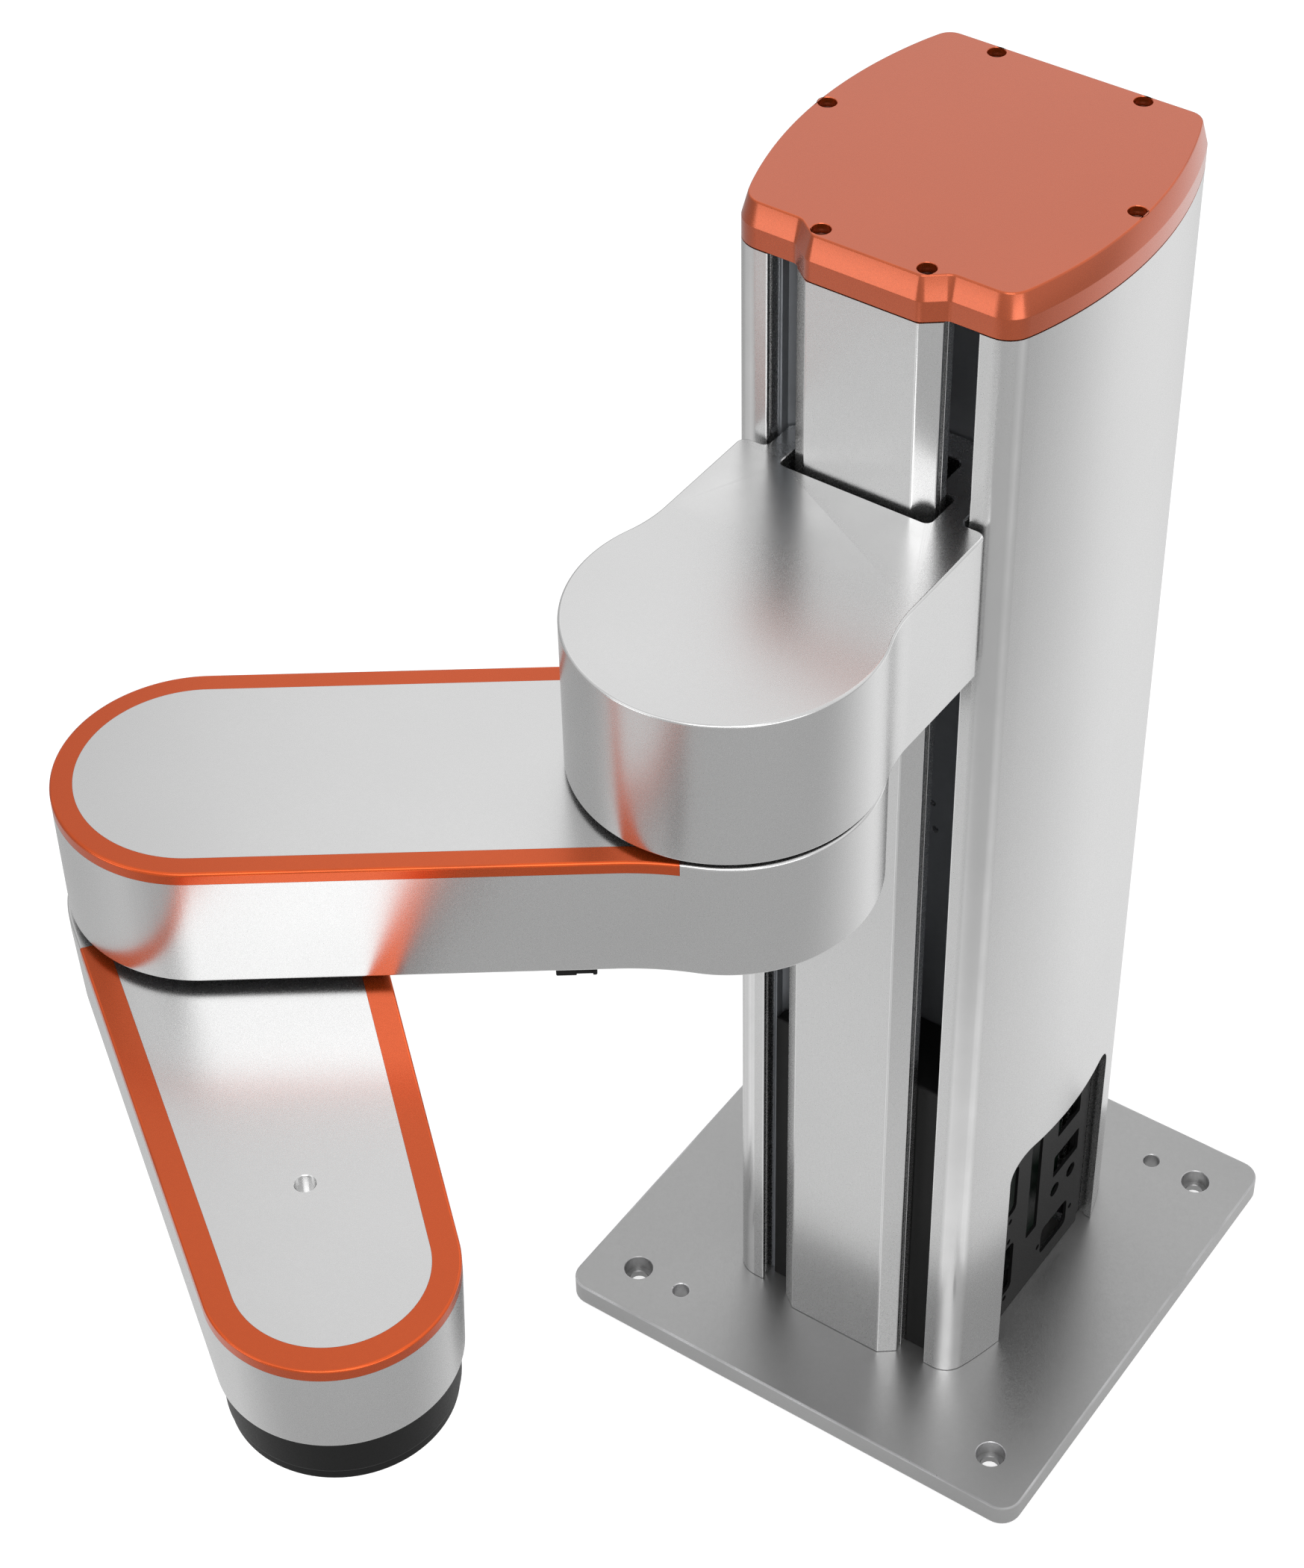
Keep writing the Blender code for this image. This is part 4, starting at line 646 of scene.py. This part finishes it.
def extruded(rows, low, high):
    """Shapes of a straight solid over filleted rows (x, y, mark), marked along its whole length.
    The marks paint a highlight down every rounded corner.
    """
    outline = rows[:, :2]
    side, *ends = closed([(outline, low, 0), (outline, high, 0)])
    return [(side[0], side[1], np.tile(rows[:, 2], 2)), *ends]


column_shell = piece(
    "column_shell_fine",
    extruded(filleted(shell_rows, 6), column_low, column_high),
    extruded_look,
    "blasted_aluminium",
    "column",
    "column_shell",
)


def carve(made, shapes, operation="DIFFERENCE"):
    """Takes shapes out of a finished piece, or keeps only what lies inside them."""
    tool = bpy.data.objects.new("tool", shaped("tool", shapes))
    scene.collection.objects.link(tool)
    modifier = made.modifiers.new("carve", "BOOLEAN")
    modifier.operation = operation
    modifier.solver = "MANIFOLD"
    modifier.object = tool
    bpy.context.view_layer.update()
    graph = bpy.context.evaluated_depsgraph_get()
    result = bpy.data.meshes.new_from_object(made.evaluated_get(graph))
    made.modifiers.clear()
    made.data = result
    bpy.data.objects.remove(tool, do_unlink=True)
    smoothed(made.data)


def along_x(shapes):
    """Shapes drawn in (y, z) over a height, turned so that the height runs along X."""
    return [(points[:, [2, 0, 1]], faces, marks) for points, faces, marks in shapes]


cutout_front = -41.0
cutout_back = 50.0
cutout_high = 140.0
cutout_corner = 15.0
cutout_reach = (62.0, 90.0)
cutout_corners = [
    (cutout_front, 0, 0),
    (cutout_back, 0, 0),
    (cutout_back, cutout_high, cutout_corner),
    (cutout_front, cutout_high, cutout_corner),
]
cutout_outline = filleted(cutout_corners, 10)[:, :2]
carve(column_shell, along_x(closed([(cutout_outline, x, 0) for x in cutout_reach])))
port_radius = 2.5
port_reach = (130.0, 700.0)
port_outline = arc(side_port, port_radius, 0, 348, 29)
carve(column_shell, closed([(port_outline, height, 0) for height in port_reach]))

# The spine is a narrower extrusion of the same metal that closes the column's front between the two
# slots. Its front edges are bevelled and a shallow groove runs down each side.
spine_front = -79.0
spine_half = 31.7
groove_floor = 29.7
spine_rows = [
    (24.2, spine_front, 1.6),
    (spine_half, -73.2, 0.9),
    (spine_half, -72.0, 0.2),
    (groove_floor, -72.0, 0),
    (groove_floor, -69.5, 0),
    (spine_half, -69.5, 0.2),
    (spine_half, -65.3, 0.3),
]
spine_filleted = filleted(np.vstack((spine_rows, other_side(spine_rows))), 4)
piece(
    "front_spine_fine",
    extruded(spine_filleted, column_low, column_high),
    extruded_look,
    "blasted_aluminium",
    "column",
    "front_spine",
)

# The cap is one orange moulding with an upright band and a drafted top, held by six sunk socket
# screws. Its outline is the column's own, with the spine's bevels at the front.
# Its roundings and hole mouths are painted a hotter orange: a painted highlight.
cap_look = look_of(
    "orange_cap_look",
    dark=(0.53, 0.078, 0.008, 1.0),
    light=(0.57, 0.086, 0.010, 1.0),
    rough=(0.24, 0.30),
    metallic=0.8,
    grain=1900.0,
    depth=0.000003,
    highlight_and_wear=(0.80, 0.12, 0.01, 1.0),
    coat=1.0,
)
cap_look.node_tree.nodes["Principled BSDF"].inputs["Coat IOR"].default_value = 1.6

cap_low = 606.7
cap_foot = 0.3
cap_band_high = 615.7
cap_high = 625.6
cap_draft = 2.5
cap_shoulder = 0.5
cap_front_rows = [(24.2, spine_front, 6.5), (33.2, column_front, 3.5)]
cap_rows = np.vstack((cap_front_rows, shell_side(0)))
cap_outline = filleted(np.vstack((cap_rows, other_side(cap_rows))), 8)[:, :2]
cap_levels = (
    (cap_foot + HOLD, cap_low, 0),
    (cap_foot, cap_low, 1),
    (0, cap_low + cap_foot, 1),
    (0, cap_low + cap_foot + HOLD, 0),
    (0, cap_band_high - HOLD, 0),
    (0, cap_band_high, 0),
    (0.06, cap_band_high + HOLD, 0),
    (cap_draft - 0.1, cap_high - cap_shoulder - HOLD, 0),
    (cap_draft, cap_high - cap_shoulder, 1),
    (cap_draft + 0.18, cap_high - 0.16, 1),
    (cap_draft + cap_shoulder, cap_high, 1),
    (cap_draft + cap_shoulder + HOLD, cap_high, 0),
)
cap_rings = [(moved_in(cap_outline, inset), height, mark) for inset, height, mark in cap_levels]
cap_recess = 8.0
cap_mouth = 0.25
cap_seat = cap_high - cap_recess
seat_radius = 3.75
shank_radius = 2.3
front_port = (22.6, -71.3)
cap_ports = [(side * x, y) for x, y in (back_port, side_port, front_port) for side in (1, -1)]
cap_holes = []
for centre in cap_ports:
    stages = (
        (seat_radius + 0.2, cap_high, 1),
        (seat_radius, cap_high - cap_mouth, 1),
        (seat_radius, cap_seat, 0),
        (shank_radius, cap_seat, 0),
        (shank_radius, cap_low, 0),
    )
    cap_holes.append(bore(centre, 32, *stages))
piece("top_cap_fine", closed(cap_rings, cap_holes), cap_look, "orange_paint", "column", "top_cap")

# Six socket head screws sit at the bottom of the cap's recesses. They are blackened steel with a
# chamfered head, a hexagonal socket and a plain shaft that runs down into the extrusion's port.
# The chamfer of each head is painted lighter: a painted highlight, with some real wear.
screw_look = look_of(
    "dark_screw_look",
    dark=tone(30, 30, 33),
    light=tone(46, 46, 50),
    rough=(0.3, 0.42),
    metallic=0.85,
    grain=2200.0,
    depth=0.00001,
    highlight_and_wear=tone(120, 120, 124),
)
screw_gap = 0.3
screw_seat = cap_seat + screw_gap
screw_top = screw_seat + 4.0
screw_low = cap_low - 14.0
head_radius = 3.4
head_chamfer = 0.4
shaft_radius = 2.0
socket_radius = 1.7
socket_floor = screw_seat + 2.0


def socket_screw(centre):
    """Shapes of a socket head screw: a chamfered head on a shaft, with a socket in its top."""
    stages = (
        (shaft_radius, screw_low, 0),
        (shaft_radius, screw_seat, 0),
        (head_radius, screw_seat, 0),
        (head_radius, screw_top - head_chamfer, 1),
        (head_radius - head_chamfer, screw_top, 1),
    )
    hexagon = arc(centre, socket_radius, 0, 300, 5)
    socket = [(hexagon, screw_top, 0), (hexagon, socket_floor, 0)]
    return closed(bore(centre, 32, *stages)[1:], [socket])


for number, centre in enumerate(cap_ports, 1):
    piece(f"cap_screw_fine_{number}", socket_screw(centre), screw_look, "dark_screw", "column")
cap_screws = [f"cap_screw_{number}" for number in range(1, 7)]
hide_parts(*cap_screws)

# The shoulder bracket is milled from one block: a neck that runs in the column, a T-shaped window
# round the spine, and a round end over the first joint with a bored pocket below. It is blasted.
# Its rounded edges are painted lighter: a painted highlight.
blasted_look = look_of(
    "blasted_aluminium_look",
    dark=tone(216, 216, 216),
    light=tone(221, 221, 221),
    rough=(0.255, 0.28),
    metallic=1.0,
    grain=1900.0,
    depth=0.0000006,
    highlight_and_wear=tone(238, 238, 238),
)
bracket_low = 452.3
bracket_high = 520.2
j1 = (0.0, -167.0)
bracket_round = 62.1
bracket_half = 55.4
bracket_flare = 60.0
bracket_low_edge = 0.4
bracket_high_edge = 1.0
flare_x = bracket_half + bracket_flare
flare_y = j1[1] + math.sqrt((bracket_round + bracket_flare) ** 2 - flare_x**2)
touch = math.degrees(math.atan2(flare_y - j1[1], flare_x))
round_run = arc(j1, bracket_round, -90, touch, 56)
flare_run = arc((flare_x, flare_y), bracket_flare, 180 + touch, 180, 14)[1:]
front_rows = sharp_rows(np.vstack((round_run, flare_run)))
neck_rows = np.array(
    [
        (bracket_half, -74.3, 4.0),
        (44.2, -74.3, 3.0),
        (44.2, -58.5, 1.6),
        (36.4, -50.7, 1.0),
        (36.4, -27.0, 1.6),
    ]
)
bracket_rows = np.vstack(
    (front_rows, neck_rows, other_side(neck_rows), other_side(front_rows[1:]))
)
bracket_outline = filleted(bracket_rows, 8)[:, :2]
bracket_rings = rim(bracket_outline, bracket_low, bracket_low_edge, False, 2)[::-1]
bracket_rings += rim(bracket_outline, bracket_high, bracket_high_edge, True)
window_rows = [(34.0, -81.5, 3.0), (34.0, -61.7, 3.0), (24.8, -61.7, 0.5), (24.8, -41.0, 3.0)]
window_outline = filleted(np.vstack((window_rows, other_side(window_rows))), 8)[:, :2]
window_edge = 0.4
window_rings = [
    (moved_in(window_outline, -window_edge), bracket_high, 1),
    (window_outline, bracket_high - window_edge, 1),
    (window_outline, bracket_high - window_edge - HOLD, 0),
    (window_outline, bracket_low, 0),
]
top_wall = 6.0
plate_room = 6.2
plate_roof = bracket_low + plate_room
plate_radius = 54.0
drive_radius = 44.5
pocket_stages = (
    (plate_radius, bracket_low, 0),
    (plate_radius, plate_roof, 0),
    (drive_radius, plate_roof, 0),
    (drive_radius, bracket_high - top_wall, 0),
)
piece(
    "shoulder_bracket_fine",
    closed(bracket_rings, [window_rings], bore(j1, 96, *pocket_stages)),
    blasted_look,
    "blasted_aluminium",
    "carriage",
    "shoulder_bracket",
)

# The first arm is a milled aluminium housing whose top is flush with an orange trim. The trim lies
# in a seat along the rim of its outer end, with a strip that turns down over the side.
# Its roundings are painted a hot orange: a painted highlight.
trim_look = look_of(
    "orange_paint_look",
    dark=(0.60, 0.082, 0.012, 1.0),
    light=(0.64, 0.092, 0.014, 1.0),
    rough=(0.26, 0.29),
    metallic=0.8,
    grain=1900.0,
    depth=0.0000015,
    highlight_and_wear=(0.95, 0.12, 0.01, 1.0),
    coat=0.45,
)
arm_length = 200.0
arm1_gap = 3.0
arm1_thick = 55.8
arm1_high = bracket_low - arm1_gap
arm1_low = arm1_high - arm1_thick
arm1_angle = math.radians(216.0)
arm1_round = 61.2
arm1_half = 56.0
arm1_flare = 130.0
arm1_side_wall = 2.3
arm1_low_edge = 0.5
arm1_high_edge = 1.1
trim1_start = 19.8
trim1_ring = 8.7
trim1_drop = 5.3
trim_thick = 2.0
trim_gap = 0.05
elbow = (
    j1[0] + arm_length * math.cos(arm1_angle),
    j1[1] + arm_length * math.sin(arm1_angle),
)


def on_arm(shapes, pivot, angle):
    """Shapes drawn along +X from a joint, turned by an angle in radians and moved to that joint."""
    cosine, sine = math.cos(angle), math.sin(angle)
    turn = np.array([[cosine, -sine, 0], [sine, cosine, 0], [0, 0, 1]])
    shift = np.array([*pivot, 0])
    return [(points @ turn.T + shift, faces, marks) for points, faces, marks in shapes]


def whole(upper):
    """Closed outline of an upper half that runs from the tip's middle to the other end's middle."""
    return np.vstack((upper, upper[1:-1][::-1] * np.array([1, -1])))


def arm_pocket(outline, low, high, side_wall, seat_depth=5.3, ledge=5.7):
    """Rings of the hollow under an arm: the bottom cover's seat, then the room for the drives."""
    seat_roof = low + seat_depth
    seat = moved_in(outline, side_wall)
    inner = moved_in(outline, side_wall + ledge)
    roof = high - top_wall
    return [(seat, low, 0), (seat, seat_roof, 0), (inner, seat_roof, 0), (inner, roof, 0)]


def trim_cutter(outline, start, high, ring, drop, grown):
    """Shapes of the space that a trim fills: a ring of the top face and a strip of the side.

    It runs along the outline past the start line. Its section, as (distance inwards, height), goes
    from outside the wall to the ring's inner line over the trim's thickness and down the wall by
    the strip's drop. At a point where the sides' normals are a and b, a section point at distance d
    lies at d (a + b) / (1 + a . b). Both ends are cut across the arm, and a grown space leaves that
    gap round the trim.
    """
    outside = -2.0
    above = high + 2.0
    rows = outline[outline[:, 0] > start - 1e-6]
    order = np.argsort(np.arctan2(rows[:, 1], rows[:, 0] - start), kind="stable")
    path = rows[order]
    side = unit(np.diff(path, axis=0))
    normal = np.column_stack((-side[:, 1], side[:, 0]))
    first = np.vstack((normal[:1], normal))
    second = np.vstack((normal, normal[-1:]))
    move = (first + second) / (1 + (first * second).sum(1, keepdims=True))
    move[[0, -1]] = np.array([[0, 1 / move[0, 1]], [0, 1 / move[-1, 1]]])
    path[[0, -1], 0] -= grown
    thick = trim_thick + grown
    section = np.array(
        [
            (outside, high - drop - grown),
            (outside, above),
            (ring + grown, above),
            (ring + grown, high - thick),
            (thick, high - thick),
            (thick, high - drop - grown),
        ]
    )
    spots = path[:, None] + move[:, None] * section[:, 0][None, :, None]
    heights = np.broadcast_to(section[:, 1], spots.shape[:2])
    points = np.concatenate((spots, heights[..., None]), axis=-1).reshape(-1, 3)
    count = len(section)
    unmarked = np.zeros(count)
    return [
        (points, quads(count, len(path)), np.zeros(len(points))),
        (points[:count], np.array([[0, 1, 2, 3], [0, 3, 4, 5]]), unmarked),
        (points[-count:], np.array([[3, 2, 1, 0], [5, 4, 3, 0]]), unmarked),
    ]


def seat_trim(housing, trim, pivot, angle, *sizes):
    """Cuts a trim's seat into its housing and leaves of the full arm only what fills that seat.

    The sizes are trim_cutter's, up to the drop.
    """
    carve(housing, on_arm(trim_cutter(*sizes, trim_gap), pivot, angle))
    carve(trim, on_arm(trim_cutter(*sizes, 0), pivot, angle), "INTERSECT")


flare1_y = arm1_half + arm1_flare
flare1_x = math.sqrt((arm1_round + arm1_flare) ** 2 - flare1_y**2)
touch1 = math.degrees(math.atan2(flare1_y, flare1_x))
start_angle = 270 - math.degrees(math.asin((flare1_x - trim1_start) / arm1_flare))
tip1 = arc((arm_length, 0), arm1_half, 0, 90, 48)
flare1 = arc((flare1_x, flare1_y), arm1_flare, 270, start_angle, 12)
flare1_end = arc((flare1_x, flare1_y), arm1_flare, start_angle, 180 + touch1, 6)[1:]
round1 = arc((0, 0), arm1_round, touch1, 180, 56)[1:]
arm1_outline = whole(np.vstack((tip1, flare1, flare1_end, round1)))
arm1_rings = rim(arm1_outline, arm1_low, arm1_low_edge, False, 2)[::-1]
arm1_rings += rim(arm1_outline, arm1_high, arm1_high_edge, True)
arm1_pocket = arm_pocket(arm1_outline, arm1_low, arm1_high, arm1_side_wall)
arm1_shapes = on_arm(closed(arm1_rings, (), arm1_pocket), j1, arm1_angle)
arm1_full = on_arm(closed(arm1_rings), j1, arm1_angle)
arm1 = piece(
    "arm1_housing_fine", arm1_shapes, blasted_look, "blasted_aluminium", "arm1", "arm1_housing"
)
trim1 = piece("arm1_trim_fine", arm1_full, trim_look, "orange_paint", "arm1", "arm1_trim")
trim1_sizes = (arm1_outline, trim1_start, arm1_high, trim1_ring, trim1_drop)
seat_trim(arm1, trim1, j1, arm1_angle, *trim1_sizes)

# The second arm is a lower housing that narrows to the wrist and leans in a little on its way down,
# with the same kind of trim. A small round hole is drilled into its top behind the wrist.
arm2_gap = 4.2
arm2_thick = 43.3
arm2_high = arm1_low - arm2_gap
arm2_low = arm2_high - arm2_thick
arm2_angle = math.radians(-38.3)
arm2_round = 57.1
arm2_tip = 45.9
arm2_side_wall = 4.8
arm2_lean = 1.2
arm2_upright = 7.0
arm2_edge = 0.8
trim2_start = 18.0
trim2_ring = 10.4
trim2_drop = 5.0
wrist = (
    elbow[0] + arm_length * math.cos(arm2_angle),
    elbow[1] + arm_length * math.sin(arm2_angle),
)
narrowing = math.degrees(math.acos((arm2_round - arm2_tip) / arm_length))
wrist_end = arc((arm_length, 0), arm2_tip, 0, narrowing, 48)
elbow_end = arc((0, 0), arm2_round, narrowing, 180, 56)
side_run = elbow_end[0] - wrist_end[-1]
side_points = wrist_end[-1] + side_run * np.linspace(0, 1, 12)[1:-1, None]
side_points = side_points[side_points[:, 0] > trim2_start + 1.0]
start_point = wrist_end[-1] + side_run * (trim2_start - wrist_end[-1, 0]) / side_run[0]
arm2_outline = whole(np.vstack((wrist_end, side_points, [start_point], elbow_end)))
arm2_rings = rim(moved_in(arm2_outline, arm2_lean), arm2_low, arm2_edge, False)[::-1]
arm2_rings.append((arm2_outline, arm2_high - arm2_upright, 0))
arm2_rings += rim(arm2_outline, arm2_high, arm2_edge, True)
arm2_pocket = arm_pocket(arm2_outline, arm2_low, arm2_high, arm2_side_wall)
drill_x = 160.0
drill_radius = 3.9
drill_depth = 5.0
drill_mouth = 0.3
stages = (
    (drill_radius + drill_mouth, arm2_high, 1),
    (drill_radius, arm2_high - drill_mouth, 1),
    (drill_radius, arm2_high - drill_depth, 0),
)
drilled = bore((drill_x, 0), 32, *stages)
arm2_shapes = on_arm(closed(arm2_rings, [drilled], arm2_pocket), elbow, arm2_angle)
arm2_full = on_arm(closed(arm2_rings), elbow, arm2_angle)
arm2 = piece(
    "arm2_housing_fine", arm2_shapes, blasted_look, "blasted_aluminium", "arm2", "arm2_housing"
)
trim2 = piece("arm2_trim_fine", arm2_full, trim_look, "orange_paint", "arm2", "arm2_trim")
trim2_sizes = (arm2_outline, trim2_start, arm2_high, trim2_ring, trim2_drop)
seat_trim(arm2, trim2, elbow, arm2_angle, *trim2_sizes)

# The wrist housing and the tool flange are turned and black anodised. A fine seam parts them.
# The flange has four threaded holes and a shallow centring recess on its underside.
# Its rounded edges are painted lighter: a painted highlight, with some real wear.
black_look = look_of(
    "black_plastic_look",
    dark=tone(20, 20, 20),
    light=tone(27, 27, 27),
    rough=(0.36, 0.46),
    metallic=0.0,
    grain=1600.0,
    depth=0.00001,
    highlight_and_wear=tone(60, 60, 60),
    shine=0.15,
)


def turned(centre, corners, steps=96, rounding=4):
    """Shapes of a solid turned about a vertical axis from (radius, height, fillet) corners.

    A point (r, z) of the filleted section lies at (cx + r cos a, cy + r sin a, z) for each angle a.
    """
    section = filleted(corners, rounding)
    angle = np.arange(steps) * 2 * np.pi / steps
    radius = np.maximum(section[:, 0], 0)[:, None]
    x = centre[0] + radius * np.cos(angle)
    y = centre[1] + radius * np.sin(angle)
    heights = np.broadcast_to(section[:, 1:2], x.shape)
    points = np.stack((x, y, heights), axis=-1).reshape(-1, 3)
    here = np.arange(steps)
    beside = (here + 1) % steps
    low = np.arange(len(section))[:, None] * steps
    up = np.roll(low, -1, axis=0)
    faces = np.stack((low + here, low + beside, up + beside, up + here), axis=-1)
    on_axis = section[:, 0] < 1e-6
    faces = faces[~(on_axis & np.roll(on_axis, -1))].reshape(-1, 4)
    return [(points, faces, np.repeat(section[:, 2], steps))]


seam = 0.3
wrist_high = arm2_low - seam
wrist_low = wrist_high - 17.2
wrist_low_radius = 42.5
wrist_high_radius = 43.2
ledge = wrist_low + 8.5
shaft_room = 31.5
bearing_room = 37.0
wrist_corners = [
    (bearing_room, wrist_low, 0.2),
    (wrist_low_radius, wrist_low, 0.5),
    (wrist_high_radius, wrist_high, 0.3),
    (shaft_room, wrist_high, 0.3),
    (shaft_room, ledge, 0),
    (bearing_room, ledge, 0),
]
wrist_shapes = turned(wrist, wrist_corners)
piece("wrist_housing_fine", wrist_shapes, black_look, "black_plastic", "arm2", "wrist_housing")
flange_high = wrist_low - seam
flange_low = flange_high - 4.7
flange_radius = 41.7
flange_outline = arc(wrist, flange_radius, 0, 356.25, 95)
flange_rings = rim(flange_outline, flange_low, 0.6, False)[::-1]
flange_rings += rim(flange_outline, flange_high, 0.2, True, 1)
tool_circle = 31.5
tool_hole = 3.0
centring_radius = 12.5
centring_depth = 1.5
flange_holes = []
for turn in np.radians([45, 135, 225, 315]):
    centre = (wrist[0] + tool_circle * math.cos(turn), wrist[1] + tool_circle * math.sin(turn))
    flange_holes.append(bore(centre, 32, (tool_hole, flange_high, 0), (tool_hole, flange_low, 0)))
recess_roof = flange_low + centring_depth
stages = ((centring_radius, flange_low, 0), (centring_radius, recess_roof, 0))
flange_recess = bore(wrist, 64, *stages)
flange_shapes = closed(flange_rings, flange_holes, flange_recess)
piece("tool_flange_fine", flange_shapes, black_look, "black_plastic", "flange", "tool_flange")

# A small black block with a shallow recess hangs under the first arm's front edge, where its wires
# enter. It is moulded and screwed on from inside the arm.
block_near = 51.6
block_far = 67.3
block_inner = 43.0
block_outer = 55.0
block_corner = 0.6
block_high = arm1_low - seam
block_low = block_high - 3.5
block_rows = [
    (block_near, block_inner, block_corner),
    (block_far, block_inner, block_corner),
    (block_far, block_outer, block_corner),
    (block_near, block_outer, block_corner),
]
block_outline = filleted(block_rows, 4)[:, :2]
block_rings = rim(block_outline, block_low, 0.4, False, 2)[::-1]
block_rings += rim(block_outline, block_high, 0.2, True, 1)
block_shapes = on_arm(closed(block_rings), j1, arm1_angle)
block = piece(
    "arm1_port_block_fine", block_shapes, black_look, "black_plastic", "arm1", "arm1_port_block"
)
recess_rows = [(53.2, 54.0, 0.3), (59.5, 54.0, 0.3), (59.5, 57.0, 0.3), (53.2, 57.0, 0.3)]
recess_outline = filleted(recess_rows, 2)[:, :2]
recess = closed([(recess_outline, block_low - 1, 0), (recess_outline, block_high - 0.8, 0)])
carve(block, on_arm(recess, j1, arm1_angle))

# Inside the column the channel is folded from sheet steel. Its back wall shows the heads of the two
# small steel screws that hold the home sensor behind it.
sheet_look = look_of(
    "dark_sheet_look",
    dark=tone(160, 163, 168),
    light=tone(174, 178, 183),
    rough=(0.42, 0.5),
    metallic=0.7,
    grain=900.0,
    depth=0.00001,
)
steel_look = look_of(
    "steel_look",
    dark=tone(168, 168, 171),
    light=tone(186, 186, 188),
    rough=(0.2, 0.34),
    metallic=1.0,
    grain=900.0,
    depth=0.00001,
)
channel_face = -26.4
sensor_head_radius = 1.65
sensor_head_face = channel_face - 0.45
sensor_head = [
    (0, channel_face, 0),
    (sensor_head_radius, channel_face, 0.1),
    (sensor_head_radius, sensor_head_face, 0.2),
    (0, sensor_head_face, 0),
]
for number, (head_x, head_z) in enumerate(((10.1, 322.0), (12.1, 307.7)), 1):
    points, faces, marks = turned((0, 0), sensor_head, 24, 2)[0]
    points = np.column_stack((points[:, 0] + head_x, points[:, 2], points[:, 1] + head_z))
    piece(f"sensor_screw_{number}", [(points, faces, marks)], steel_look, "steel", "column")

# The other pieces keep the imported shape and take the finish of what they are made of: green circuit
# board, machined aluminium, bare steel, black plastic or the channel's sheet steel.
board_look = look_of(
    "board_green_look",
    dark=tone(9, 26, 18),
    light=tone(14, 36, 25),
    rough=(0.3, 0.45),
    metallic=0.0,
    grain=600.0,
    depth=0.00002,
)
plain_look = look_of(
    "machined_aluminium_look",
    dark=tone(196, 196, 199),
    light=tone(210, 210, 213),
    rough=(0.24, 0.36),
    metallic=1.0,
    grain=1100.0,
    depth=0.00002,
)
black_nodes = ["connector_panel", "panel_bracket_back", "panel_bracket_front", "home_sensor"]
black_nodes += ["lower_cover", "block_wiper_lower", "block_wiper_upper"]
black_nodes += ["z_motor", "j1_motor", "j2_motor", "r_motor"]
steel_nodes = ["lower_screw_bearing", "upper_screw_bearing", "j1_bearing", "j2_bearing"]
steel_nodes += ["r_bearing", "guide_rail", "guide_block", "ball_screw", "ball_nut", "r_shaft"]
steel_nodes += ["j1_reducer", "j2_reducer", "r_reducer", "j1_output_hub", "j2_output_hub"]
steel_nodes += [f"board_standoff_{number}" for number in range(1, 5)]
milled_nodes = ["z_motor_mount", "upper_bearing_plate", "shaft_coupling", "nut_bracket"]
milled_nodes += ["j1_mount_plate", "arm1_bottom_cover", "arm2_bottom_cover"]
finishes = (
    (black_look, black_nodes),
    (steel_look, steel_nodes),
    (plain_look, milled_nodes),
    (sheet_look, ["inner_channel"]),
    (board_look, ["control_board"]),
)
for finish, names in finishes:
    for node_name in names:
        slots = nodes[node_name].data.materials
        if len(slots) == 0:
            slots.append(finish)
        for index in range(len(slots)):
            slots[index] = finish
